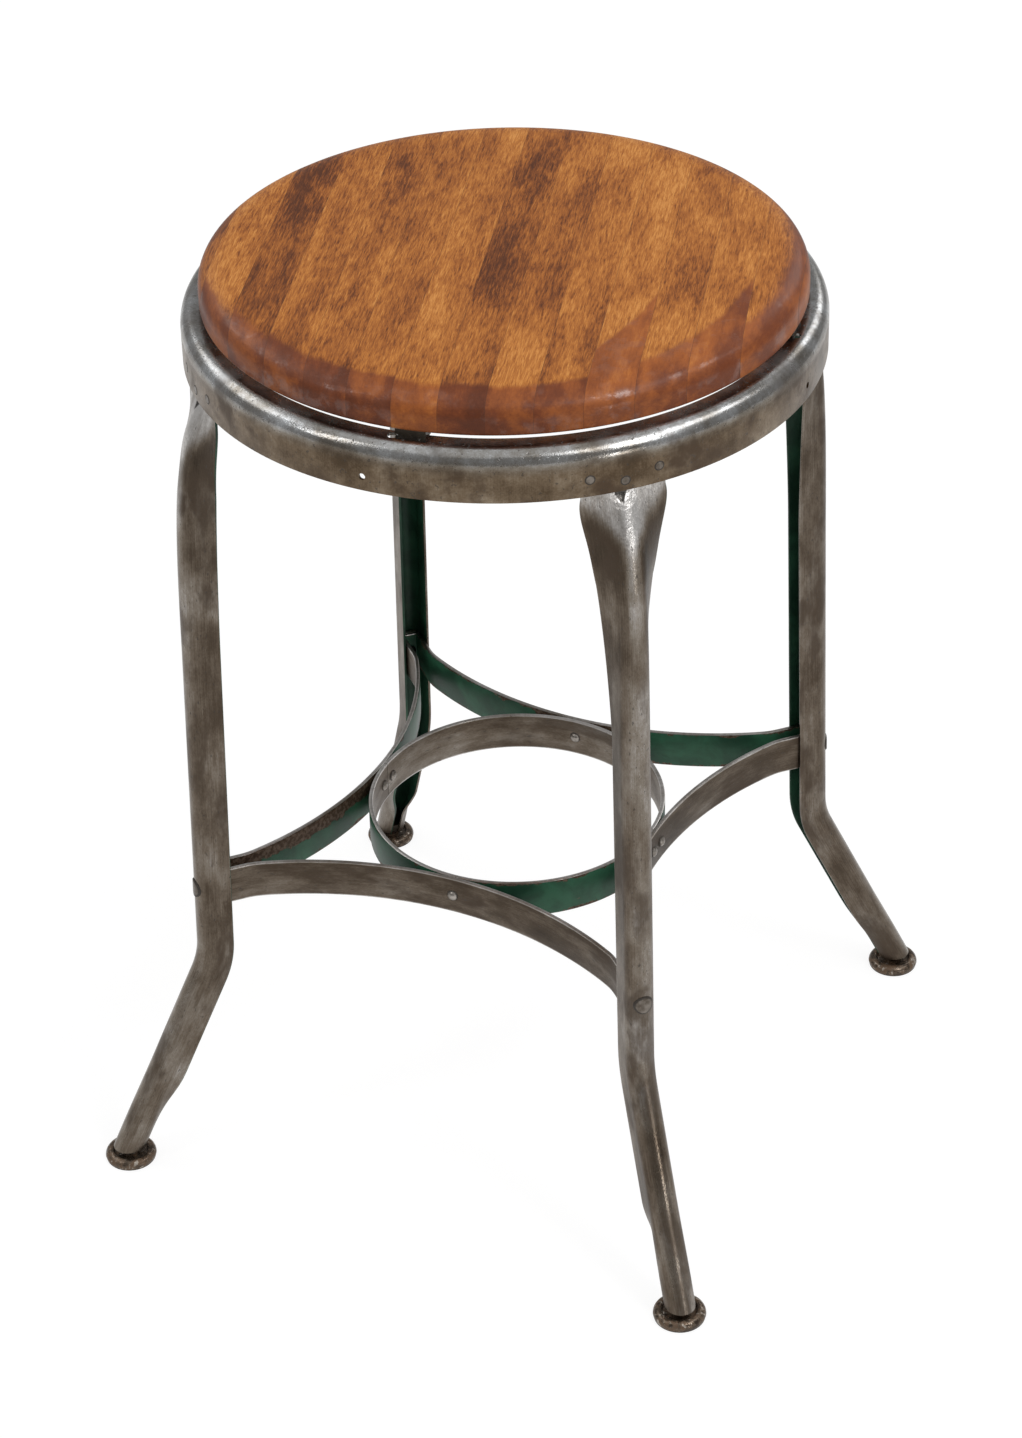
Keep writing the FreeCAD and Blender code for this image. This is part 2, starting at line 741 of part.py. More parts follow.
def pierced(body, sketch, depth, forward):
    """A hole through the sheet, repeated at the four quarter turns."""
    before = body.Shape.Volume
    pocket = body.newObject("PartDesign::Pocket", "Pierce")
    pocket.Profile = sketch
    bind(pocket, "Length", depth)
    pocket.Reversed = forward
    doc.recompute()
    if not pocket.Shape.Volume < before:
        raise RuntimeError("a hole cuts nothing: " + body.Label)
    pattern = body.newObject("PartDesign::PolarPattern", "Around")
    pattern.Originals = [pocket]
    pattern.Axis = (origin_plane(body, "Z_Axis"), [""])
    pattern.Angle = 360.0
    pattern.Occurrences = len(quarter_turns)
    return pattern


def padded(label, corners, width, heading):
    """A flat-sided piece: its outline in X and Z, padded both ways across Y, then turned."""
    body = new_body(label)
    sketch = new_sketch(body, "XZ_Plane")
    draw_outline(sketch, corners, {})
    pad = body.newObject("PartDesign::Pad", "Pad")
    pad.Profile = sketch
    bind(pad, "Length", width)
    pad.Midplane = True
    body.Placement = about_axis(heading)
    return body


def seat_cleats(screws):
    """Steel bars under the seat that stand on the flange, and the clips that reach under it."""
    inner = cleat_inner
    outer = flange_edge + size("cleat_bearing")
    clip = size("clip_thickness")
    under = ring_top - size("ring_sheet") - size("clip_slack")
    cleat_corners = [(inner, ring_top), (outer, ring_top), (outer, seat_bottom),
                     (inner, seat_bottom)]
    step = flange_edge - clip
    clip_corners = [
        (inner, ring_top), (step, ring_top), (step + clip / 2, under), (outer, under),
        (outer, under - clip), (step - clip / 3, under - clip), (step - clip, ring_top - clip),
        (inner, ring_top - clip),
    ]
    pieces = []
    for turn in quarter_turns:
        heading = 90.0 * turn + size("cleat_angle").number
        number = turn + 1
        bar = padded(f"seat_cleat_{number}_blank", cleat_corners, size("cleat_width"), heading)
        lip = padded(f"seat_clip_{number}_blank", clip_corners, size("cleat_width"), heading)
        pieces.append(cut(f"seat_cleat_{number}", bar, screws))
        pieces.append(cut(f"seat_clip_{number}", lip, screws))
    return pieces


# Braces and foot ring

def brace_form():
    """A brace between the legs at -45 and 45 degrees. Its flat strip runs from a tab in one leg,
    in a long curve past the foot ring, to a tab in the other. Angles turn from the tangent."""
    thickness = size("brace_thickness").number
    middle = foot_ring_outer.number + thickness / 2
    arc = brace_arc_radius()
    end_radius = size("brace_end_radius").number
    turn = math.radians(45.0 - size("brace_end_angle").number)
    offset = brace_offset()
    bend = size("brace_tab_bend").number + thickness / 2
    low = brace_bottom.number

    def on_curve(angle, hand):
        return Vector(middle + arc * (1 - math.cos(angle)), hand * arc * math.sin(angle), low)

    def on_end(angle, hand):
        start = on_curve(turn, hand)
        return start + Vector(end_radius * (math.cos(turn) - math.cos(angle)),
                              hand * end_radius * (math.sin(angle) - math.sin(turn)), 0)

    def by_leg(distance, beside, hand):
        """A point by the leg on that hand: distance from the axis, and beside the leg's plane
        towards this brace."""
        root = math.sqrt(0.5)
        return Vector(root * (distance + beside), hand * root * (distance - beside), low)

    quarter = math.radians(45.0)

    def end_edges(hand, tab_face, reach):
        """The edges from the long curve to the tab's tip, in order outwards."""
        line = tab_face - thickness / 2
        bend_start = by_leg(line - bend, offset, hand)
        bend_middle = by_leg(line - bend + bend * math.sin(quarter),
                             offset - bend + bend * math.cos(quarter), hand)
        bend_finish = by_leg(line, offset - bend, hand)
        return [
            Part.Arc(on_end(turn, hand), on_end((turn + quarter) / 2, hand),
                     on_end(quarter, hand)).toShape(),
            Part.LineSegment(on_end(quarter, hand), bend_start).toShape(),
            Part.Arc(bend_start, bend_middle, bend_finish).toShape(),
            Part.LineSegment(bend_finish, by_leg(line, -reach, hand)).toShape(),
        ]

    outer_tab, _, inner_tab, _ = tab_faces()
    first = end_edges(-1, outer_tab, size("brace_outer_tab_reach").number)
    last = end_edges(1, inner_tab, size("brace_inner_tab_reach").number)
    long_curve = Part.Arc(on_curve(turn, -1), on_curve(0, 1), on_curve(turn, 1)).toShape()
    path = Part.Wire(Part.__sortEdges__(first + [long_curve] + last))
    start = path.OrderedVertexes[0].Point
    edge = path.OrderedEdges[0]
    along = (path.OrderedVertexes[1].Point - start).normalize()
    across = along.cross(Vector(0, 0, 1)) * (thickness / 2)
    rise = Vector(0, 0, size("brace_height").number)
    strip = Part.makePolygon([start - across, start + across, start + across + rise,
                              start - across + rise, start - across])
    form = path.makePipeShell([strip], True, False)
    expected = thickness * size("brace_height").number * path.Length
    if abs(form.Volume - expected) > 0.01 * expected:
        raise RuntimeError(f"brace volume {form.Volume:.0f}, expected {expected:.0f}")
    return form


def half_hoops(rivets):
    """The foot ring: two half hoops that butt under the paired rivets."""
    half_circle = 180.0
    butt_angle = size("foot_ring_butt_gap") / foot_ring_outer * math.degrees(1.0)
    rise = Placement(Vector(0, 0, brace_bottom.number), Rotation())
    halves = []
    for index, name in enumerate(("back", "front")):
        outer = doc.addObject("Part::Cylinder", "Hoop_outside_" + name)
        bind(outer, "Radius", foot_ring_outer)
        bind(outer, "Height", size("brace_height"))
        bind(outer, "Angle", half_circle - butt_angle)
        inner = doc.addObject("Part::Cylinder", "Hoop_inside_" + name)
        bind(inner, "Radius", foot_ring_inner)
        bind(inner, "Height", size("brace_height"))
        start = half_circle * index + butt_angle.number / 2
        outer.Placement = about_axis(start).multiply(rise)
        inner.Placement = rise
        hoop = cut(f"ring_half_{name}_blank", outer, inner)
        halves.append(cut(f"ring_half_{name}", hoop, rivets))
    return halves


# Feet

def foot_place(name):
    place = Placement(Vector(foot_circle.number, 0, 0), Rotation())
    return about_axis(leg_headings[name]).multiply(place)


def ball_stud(name):
    """Ball, neck, collar and the shank that is pressed into the plug."""
    ball, neck = size("ball_radius"), size("stud_neck_radius")
    collar, shank = size("stud_collar_radius"), size("stud_shank_radius")
    end = size("leg_end_height")
    top = end + size("stud_shank_length")
    corners = [
        (0, ball_middle - ball),
        (ball, ball_middle),
        (neck, ball_middle + other_leg(ball, neck)),
        (neck, end - size("stud_collar_height")),
        (collar, end - size("stud_collar_height")),
        (collar, end),
        (shank, end),
        (shank, top),
        (0, top),
    ]
    body = turned("ball_stud_" + name, corners, {0: (ball, 1), 1: (ball, 1)})
    body.Placement = foot_place(name)
    return body


def leg_plug(name, stud):
    """The turned steel plug that fills the round end of the leg and takes the stud."""
    lean = size("leg_shank_angle").number
    bar = doc.addObject("Part::Cylinder", "Plug_bar_" + name)
    bind(bar, "Radius", size("leg_foot_bend_radius") - size("leg_sheet") / 2)
    bind(bar, "Height", size("plug_length") * 2)
    axis = Rotation(Vector(0, 1, 0), -lean)
    along = axis.multVec(Vector(0, 0, 1))
    end = Vector(size("leg_end_offset").number, 0, size("leg_end_height").number)
    start = end - along * size("plug_length").number
    bar.Placement = foot_place(name).multiply(Placement(start, axis))
    floor = doc.addObject("Part::Box", "Plug_floor_" + name)
    reach = 3 * size("plug_length")
    bind(floor, "Length", reach)
    bind(floor, "Width", reach)
    bind(floor, "Height", reach)
    corner = Vector(-reach.number / 2, -reach.number / 2,
                    size("leg_end_height").number - reach.number)
    floor.Placement = foot_place(name).multiply(Placement(corner, Rotation()))
    return cut("leg_plug_" + name, cut(f"leg_plug_{name}_blank", bar, floor), stud)


def socket_liner(name):
    """The fibre liner between ball and glide, round inside and outside."""
    inner = size("ball_radius") + size("ball_slack")
    outer = inner + size("liner_wall")
    top, low = size("liner_top"), size("liner_bottom")
    corners = [
        (other_leg(inner, low), ball_middle - low),
        (other_leg(outer, low), ball_middle - low),
        (other_leg(outer, top), ball_middle + top),
        (other_leg(inner, top), ball_middle + top),
    ]
    body = turned("socket_liner_" + name, corners, {1: (outer, 1), 3: (inner, -1)})
    body.Placement = foot_place(name)
    return body


def glide_shell(name):
    """The pressed glide: a rounded rim, a well for the leg's end and a socket for the ball."""
    thick = size("glide_sheet")
    outer, height = size("glide_radius"), size("glide_height")
    crest, lip = size("glide_crest_round"), size("glide_lip_round")
    floor, well = size("glide_floor_height"), size("glide_well_round")
    socket = size("ball_radius") + 2 * size("ball_slack") + size("liner_wall")
    socket_out = socket + thick
    crest_across = outer - crest
    well_across = crest_across - lip
    rim = size("sole_thickness")
    low, top = size("liner_bottom"), size("socket_top")
    floor_step = ball_middle - floor
    corners = [
        (outer - size("glide_rim_tuck"), rim),
        (outer, height - crest),
        (crest_across, height),
        (well_across, height - lip),
        (well_across, floor + well),
        (well_across - well, floor),
        (other_leg(socket_out, floor_step), floor),
        (other_leg(socket_out, top), ball_middle + top),
        (other_leg(socket, top), ball_middle + top),
        (other_leg(socket, low), ball_middle - low),
        (other_leg(socket, low), floor - thick),
        (well_across - well, floor - thick),
        (well_across + thick, floor + well),
        (well_across + thick, height - lip),
        (crest_across, height - thick),
        (outer - thick, height - crest),
        (outer - thick - size("glide_rim_tuck"), rim),
    ]
    rounds = {
        1: (crest, 1), 2: (lip, 1), 4: (well, -1), 6: (socket_out, 1), 8: (socket, -1),
        11: (well + thick, 1), 13: (lip - thick, -1), 14: (crest - thick, -1),
    }
    body = turned("glide_shell_" + name, corners, rounds)
    body.Placement = foot_place(name)
    return body


def glide_sole(name):
    """The flat steel sole that closes the glide and stands on the floor."""
    thick = size("sole_thickness")
    radius = size("glide_radius") - size("glide_rim_tuck") - size("sole_inset")
    corners = [(0, 0), (radius - thick / 2, 0), (radius, thick / 2), (radius, thick), (0, thick)]
    body = turned("glide_sole_" + name, corners, {1: (thick / 2, 1)})
    body.Placement = foot_place(name)
    return body


# Putting the stool together

pieces = []

screw_group = feature("seat_screws", Part.makeCompound(seat_screws()))
apron_group = feature("apron_rivets", Part.makeCompound(apron_rivets()))
leg_rivet_group = feature("leg_rivets", Part.makeCompound(leg_rivets()))
ring_rivet_group = feature("ring_rivets", Part.makeCompound(ring_rivets()))
pieces += [screw_group, apron_group, leg_rivet_group, ring_rivet_group]

pieces += seat_boards(seat_disc(), screw_group)
pieces.append(seat_ring(apron_group))
pieces += seat_cleats(screw_group)

bare_leg = leg_form()
leg_rivet_holes = [apron_group.Shape, leg_rivet_group.Shape]
for name in leg_names:
    leg = bare_leg.copy()
    leg.Placement = about_axis(leg_headings[name])
    pieces.append(feature("leg_" + name, leg.cut(leg_rivet_holes).Solids[0]))

bare_brace = brace_form()
brace_names = ("front_right", "back_right", "back_left", "front_left")
for turn, name in enumerate(brace_names):
    brace = bare_brace.copy()
    brace.Placement = about_axis(90.0 * turn)
    holes = [leg_rivet_group.Shape, ring_rivet_group.Shape]
    pieces.append(feature("brace_" + name, brace.cut(holes).Solids[0]))
pieces += half_hoops(ring_rivet_group)

for name in leg_names:
    stud = ball_stud(name)
    pieces += [leg_plug(name, stud), stud, socket_liner(name), glide_shell(name),
               glide_sole(name)]

doc.recompute()

for thing in doc.Objects:
    if "Invalid" in thing.State or "Error" in thing.State:
        raise RuntimeError(f"{thing.Name} ({thing.Label}) failed: {thing.State}")
for piece in pieces:
    if piece.Shape.isNull() or not piece.Shape.isValid() or not piece.Shape.Solids:
        raise RuntimeError(f"{piece.Label} has no valid solid")

os.makedirs("parts", exist_ok=True)
for piece in pieces:
    piece.Shape.exportStep(f"parts/{piece.Label}.step")
print(f"{len(pieces)} nodes written")
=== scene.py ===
import math

import bmesh
import bpy
import numpy as np
from mathutils import Matrix, Vector


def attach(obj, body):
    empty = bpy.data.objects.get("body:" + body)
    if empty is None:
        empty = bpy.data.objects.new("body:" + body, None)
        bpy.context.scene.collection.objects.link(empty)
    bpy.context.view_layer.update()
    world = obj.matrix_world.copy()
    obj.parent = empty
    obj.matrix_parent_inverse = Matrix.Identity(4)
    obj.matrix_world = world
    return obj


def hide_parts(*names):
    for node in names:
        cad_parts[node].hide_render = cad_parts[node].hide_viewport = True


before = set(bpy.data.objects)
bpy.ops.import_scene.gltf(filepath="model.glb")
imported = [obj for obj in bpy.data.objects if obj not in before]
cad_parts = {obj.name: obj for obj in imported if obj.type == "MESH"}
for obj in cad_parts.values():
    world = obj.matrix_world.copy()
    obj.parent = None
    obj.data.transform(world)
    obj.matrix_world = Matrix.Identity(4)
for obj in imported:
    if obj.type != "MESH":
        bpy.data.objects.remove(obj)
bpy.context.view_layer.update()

mm = 0.001


# The room: a pale studio floor, a large soft lamp overhead, window-like lamps round the stool,
# and the camera of the photograph, which stands on the right of the front leg and looks down.

class Mark:
    """A socket of a finish. Arithmetic on it adds Math nodes, and node() adds any other."""

    def __init__(self, tree, socket=None):
        self.tree, self.socket = tree, socket

    def node(self, kind, settings=None, sockets=None, out=0):
        """Adds a node: its settings first, then the values or links of its sockets."""
        made = self.tree.nodes.new("ShaderNode" + kind)
        for key, value in (settings or {}).items():
            if key == "stops":
                stops = made.color_ramp.elements
                stops[0].position, stops[0].color = value[0][0], (*value[0][1], 1)
                stops[1].position, stops[1].color = value[-1][0], (*value[-1][1], 1)
                for place, colour in value[1:-1]:
                    stops.new(place).color = (*colour, 1)
            elif key == "steps":
                made.color_ramp.interpolation = value
            else:
                setattr(made, key, value)
        for key, value in (sockets or {}).items():
            if isinstance(value, Mark):
                self.tree.links.new(value.socket, made.inputs[key])
            else:
                made.inputs[key].default_value = value
        return Mark(self.tree, made.outputs[out])

    def maths(self, operation, *others):
        return self.node("Math", {"operation": operation}, dict(enumerate((self, *others))))

    def __add__(self, other):
        return self.maths("ADD", other)

    def __sub__(self, other):
        return self.maths("SUBTRACT", other)

    def __rsub__(self, other):
        return self.node("Math", {"operation": "SUBTRACT"}, {0: other, 1: self})

    def __mul__(self, other):
        return self.maths("MULTIPLY", other)

    def __truediv__(self, other):
        return self.maths("DIVIDE", other)

    __radd__ = __add__
    __rmul__ = __mul__

    def fade(self, low, high, start=0.0, end=1.0):
        """A soft step from start to end while this goes from low to high."""
        return self.node("MapRange", {"interpolation_type": "SMOOTHSTEP"},
                         {0: self, 1: low, 2: high, 3: start, 4: end})

    def ramp(self, *stops, steps="LINEAR"):
        """Colours along a scale from 0 to 1, each with its place on it."""
        return self.node("ValToRGB", {"stops": stops, "steps": steps}, {0: self})

    def cloud(self, scale, detail=3.0, rough=0.55, bend=0.0):
        """Soft random patches, scale of them to the metre, at this place."""
        return self.node("TexNoise", {}, {"Vector": self, "Scale": scale, "Detail": detail,
                                          "Roughness": rough, "Distortion": bend})

    def stretched(self, across, along, up=1.0, turn=0.0):
        """This place turned about Z and stretched, for a pattern with a grain."""
        return self.node("Mapping", {}, {"Vector": self, "Rotation": (0, 0, turn),
                                         "Scale": (across, along, up)})

    def part(self, axis):
        return self.node("SeparateXYZ", {}, {0: self}, out="XYZ".index(axis))

    def length(self):
        return self.node("VectorMath", {"operation": "LENGTH"}, {0: self}, out=1)

    def stored(self, name):
        """A value that the mesh stores at its points."""
        return self.node("Attribute", {"attribute_name": name}, out=2)


def colour_mix(share, first, second):
    """A colour between two, by a share from 0 to 1."""
    fill = {0: share}
    for key, value in ((6, first), (7, second)):
        fill[key] = value if isinstance(value, Mark) else (*value, 1)
    return share.node("Mix", {"data_type": "RGBA"}, fill, out=2)


def new_finish(name):
    """An empty finish, and the place of its points, which all its marks grow from."""
    finish = bpy.data.materials.new(name)
    finish.use_nodes = True
    finish.node_tree.nodes.clear()
    return finish, Mark(finish.node_tree).node("TexCoord", out=3)


def coat(shader):
    """Puts a shader on the surface."""
    end = shader.tree.nodes.new("ShaderNodeOutputMaterial")
    shader.tree.links.new(shader.socket, end.inputs["Surface"])


def added(name, data):
    """A new object in the scene."""
    thing = bpy.data.objects.new(name, data)
    bpy.context.scene.collection.objects.link(thing)
    return thing


def floor_finish():
    """Pale floor paper. Seen directly it is close to white, and it still takes the shadow. It
    runs out to the backdrop's white, and from below it isn't there."""
    finish, place = new_finish("studio_paper")
    paper = place.node("BsdfDiffuse", {}, {"Color": (0.9, 0.9, 0.9, 1)})
    white = place.node("Emission", {}, {"Color": (1, 1, 1, 1), "Strength": 1.1})
    seen = place.node("LightPath", out=0) * place.length().fade(0.8, 2.6, 0.78, 1.0)
    mirrored = place.node("LightPath", out=3) * 0.45
    sheet = place.node("MixShader", {}, {0: seen + mirrored, 1: paper, 2: white})
    below, gone = place.node("NewGeometry", out=6), place.node("BsdfTransparent")
    coat(place.node("MixShader", {}, {0: below, 1: sheet, 2: gone}))
    return finish


def studio_floor(radius=4.0, sides=96, drop=0.0001):
    """A round sheet of paper, flat, a hair under the feet."""
    around = np.linspace(0, 2 * np.pi, sides, endpoint=False)
    rim = np.stack([radius * np.cos(around), radius * np.sin(around), 0 * around - drop], axis=1)
    mesh = bpy.data.meshes.new("studio_floor")
    mesh.from_pydata(rim.tolist(), [], [list(range(sides))])
    mesh.materials.append(floor_finish())
    floor = added("studio_floor", mesh)


stool_middle = Vector((0, 0, 0.45))


def softbox(name, heading, height_angle, distance, width, height, brightness):
    """A flat soft lamp at a compass heading and a height angle from the stool, facing it."""
    lamp = bpy.data.lights.new(name, "AREA")
    lamp.shape, lamp.size, lamp.size_y = "RECTANGLE", width, height
    lamp.energy = brightness * math.pi * width * height
    thing = added(name, lamp)
    thing.visible_camera = False
    heading, rise = math.radians(heading), math.radians(height_angle)
    away = distance * Vector((math.cos(rise) * math.cos(heading),
                              math.cos(rise) * math.sin(heading), math.sin(rise)))
    thing.matrix_world = away.to_track_quat("Z", "Y").to_matrix().to_4x4()
    thing.location = stool_middle + away


studio_floor()
softbox("lamp_overhead", -50, 80, 1.75, 2.6, 2.2, 0.53)
softbox("lamp_key", -2, 51, 1.8, 1.9, 0.5, 3.2)
softbox("lamp_right", -20, 42, 1.9, 0.35, 0.8, 6.7)
softbox("lamp_left", -130, 38, 1.9, 0.30, 0.8, 5.5)
softbox("lamp_low_right", -30, -1, 2.1, 0.14, 0.55, 12.0)
softbox("lamp_back_left", 178, 39, 1.9, 1.4, 0.7, 2.6)
softbox("lamp_back_right", 78, 28, 1.9, 0.5, 0.8, 2.2)

world = bpy.data.worlds.new("studio")
bpy.context.scene.world = world
world.use_nodes = True
world.node_tree.nodes.clear()
sky = Mark(world.node_tree)
brightness = sky.node("LightPath", out=0).fade(0.0, 1.0, 0.36, 1.0)
backdrop = sky.node("Background", {}, {"Color": (1, 1, 1, 1), "Strength": brightness})
sky_end = world.node_tree.nodes.new("ShaderNodeOutputWorld")
world.node_tree.links.new(backdrop.socket, sky_end.inputs["Surface"])

bpy.context.scene.view_settings.view_transform = "Standard"

camera = bpy.data.cameras.new("camera")
camera.sensor_width, camera.lens, camera.clip_end = 36.0, 95.84, 50.0
viewer = added("camera", camera)
bpy.context.scene.camera = viewer
# turned to its heading about Z, tilted up from looking straight down, and rolled
camera_heading, camera_tilt, camera_roll = 25.321, 56.063, -1.469
viewer.matrix_world = (Matrix.Translation((0.86150, -1.82660, 1.63349))
                       @ Matrix.Rotation(math.radians(camera_heading), 4, "Z")
                       @ Matrix.Rotation(math.radians(camera_tilt), 4, "X")
                       @ Matrix.Rotation(math.radians(camera_roll), 4, "Z"))


# Seat: a round disc of stained hardwood, glued up from fourteen staves. Its edge was turned
# to a soft crown, then wiped with a darker stain there, and the whole was varnished.

seat_radius, seat_top, seat_under = 180.3, 606.6, 583.5
side_round, crown_round, side_angle, lower_round, rim_band = 12.0, 30.0, 65.0, 2.0, 20.0
stave_width, first_seam, stave_count, stave_turn = 26.6, -168.9, 14, 15.7
# for each stave: how light its top is, how light its edge is, how far in the dark border runs
top_tones = (0.30, 0.54, 0.24, 0.52, 0.38, 0.52, 0.66, 0.28, 0.44, 0.58, 0.62, 0.42, 0.45, 0.46)
edge_tones = (0.45, 0.45, 0.35, 0.40, 0.30, 0.35, 0.95, 0.30, 0.40, 0.45, 0.85, 0.60, 0.65, 0.60)
wipes = (0.04, 0.04, 0.07, 0.10, 0.10, 0.11, 0.09, 0.12, 0.10, 0.11, 0.55, 0.17, 0.24, 0.07)
# stave number, across from its middle, along, half width, half length, how dark
dark_patches = ((1, 3, 55, 13, 42, 0.34), (2, 0, 62, 15, 70, 0.34), (4, 0, 88, 15, 36, 0.26),
                (4, -4, 28, 11, 34, 0.16), (4, 2, -66, 14, 42, 0.30), (7, -1, 86, 13, 46, 0.34),
                (7, -2, -40, 10, 70, 0.16), (8, 2, 108, 13, 12, 0.26), (8, 3, -18, 13, 9, 0.22),
                (9, 9, -8, 7, 12, 0.30), (9, 12, -60, 4, 30, 0.34), (11, -6, 118, 8, 20, 0.24),
                (11, 0, -26, 14, 34, 0.20), (12, 0, 95, 12, 40, 0.14))
front_x, front_y = 0.469, -0.883  # the way to the seat's front, where the border is darkest


def grid_faces(rows, columns, round_rows=False, round_columns=False, first=0):
    """Four-sided faces between neighbouring points of a grid that is stored row by row."""
    r = np.arange(rows if round_rows else rows - 1)[:, None]
    c = np.arange(columns if round_columns else columns - 1)[None, :]
    r_next, c_next = (r + 1) % rows, (c + 1) % columns
    corners = [r * columns + c, r * columns + c_next, r_next * columns + c_next,
               r_next * columns + c]
    return np.stack(corners, axis=-1).reshape(-1, 4) + first


def end_faces(rows, columns):
    """The faces that close a grid at its first and at its last row."""
    return [list(range(columns)), list(range((rows - 1) * columns, rows * columns))]


def turned_about(points, heading):
    """The points turned about the stool's upright axis."""
    angle = math.radians(heading)
    x, y, z = points[..., 0], points[..., 1], points[..., 2]
    return np.stack([x * math.cos(angle) - y * math.sin(angle),
                     x * math.sin(angle) + y * math.cos(angle), z], axis=-1)


def new_piece(name, points, faces, finishes, slots=None, marks=None, crease=38.0):
    """A piece from points in millimetres. Doubled points are merged, the faces turned
    outwards, and edges sharper than the crease stay crisp. Marks are values at the points."""
    mesh = bpy.data.meshes.new(name)
    flat = np.asarray(points, float).reshape(-1, 3) * mm
    mesh.from_pydata(flat.tolist(), [], [list(map(int, face)) for face in faces])
    for finish in finishes:
        mesh.materials.append(finish)
    if slots is not None:
        mesh.polygons.foreach_set("material_index", np.asarray(slots, np.int32))
    for mark, values in (marks or {}).items():
        layer = mesh.attributes.new(mark, "FLOAT", "POINT")
        layer.data.foreach_set("value", np.asarray(values, np.float32).ravel())
    work = bmesh.new()
    work.from_mesh(mesh)
    bmesh.ops.remove_doubles(work, verts=work.verts, dist=1e-6)
    bmesh.ops.dissolve_degenerate(work, edges=work.edges, dist=1e-7)
    bmesh.ops.recalc_face_normals(work, faces=work.faces)
    work.to_mesh(mesh)
    work.free()
    mesh.polygons.foreach_set("use_smooth", np.ones(len(mesh.polygons), bool))
    mesh.set_sharp_from_angle(angle=math.radians(crease))
    return added(name, mesh)


def top_height(reach):
    """Height of the seat's upper face at a distance from its axis: flat, then the crown arc,
    then the tighter side arc."""
    tilt = math.radians(side_angle)
    side_start = seat_top - side_round * math.sin(tilt) - crown_round * (1 - math.sin(tilt))
    meet = seat_radius - side_round * (1 - math.cos(tilt))
    flat_end = meet - crown_round * math.cos(tilt)
    crown = seat_top - crown_round + np.sqrt(
        np.maximum(crown_round**2 - np.maximum(reach - flat_end, 0)**2, 0))
    side = side_start + np.sqrt(
        np.maximum(side_round**2 - np.maximum(reach - seat_radius + side_round, 0)**2, 0))
    return np.where(reach < meet, crown, side)


def under_height(reach):
    """Height of the seat's lower face: flat, then a small round."""
    inward = np.maximum(reach - seat_radius + lower_round, 0)
    return seat_under + lower_round - np.sqrt(np.maximum(lower_round**2 - inward**2, 0))


def stave_points(left, right):
    """Sections of the disc across one stave. Each runs from the rim over the top to the other
    rim and back underneath. A point's distance from the axis shrinks with the section."""
    if left <= -seat_radius:
        across = -seat_radius + (right - left) * (1 - np.cos(np.linspace(0, np.pi / 2, 14)))
    elif right >= seat_radius:
        across = seat_radius - (right - left) * (1 - np.cos(np.linspace(np.pi / 2, 0, 18)))
    else:
        across = np.linspace(left, right, 13)
    inward = 1 - np.cos(np.linspace(0, np.pi / 2, 13))
    upper = np.concatenate([seat_radius - rim_band * inward, np.linspace(160.0, 0, 20)[1:]])
    lower = np.concatenate([seat_radius - lower_round * inward[::3], [150.0, 90.0, 0.0]])
    here = np.abs(across)[:, None]

    def spread(radii, height):
        """How far along the stave the points of one face lie, and their heights."""
        reach = here + (seat_radius - here) * (radii / seat_radius)[None, :]
        return np.sqrt(np.maximum(reach**2 - here**2, 0)), height(reach)

    up_y, up_z = spread(upper, top_height)
    low_y, low_z = spread(lower, under_height)
    y = np.concatenate([up_y, -up_y[:, -2::-1], -low_y, low_y[:, -2::-1]], axis=1)
    z = np.concatenate([up_z, up_z[:, -2::-1], low_z, low_z[:, -2::-1]], axis=1)
    x = np.broadcast_to(across[:, None], y.shape)
    return turned_about(np.stack([x, y, z], axis=-1), stave_turn)


def surface(colour, roughness, relief, strength, depth, more=None, under=None):
    """Coats a finish: its colour, its roughness, a fine relief of that strength and depth in
    metres, more sockets by name, and a coarser relief under the fine one."""
    bump = {"Strength": strength, "Distance": depth, "Height": relief}
    if under is not None:
        bump["Normal"] = under
    coat(colour.node("BsdfPrincipled", {}, {
        "Base Color": colour, "Roughness": roughness,
        "Normal": colour.node("Bump", {}, bump), **(more or {})}))


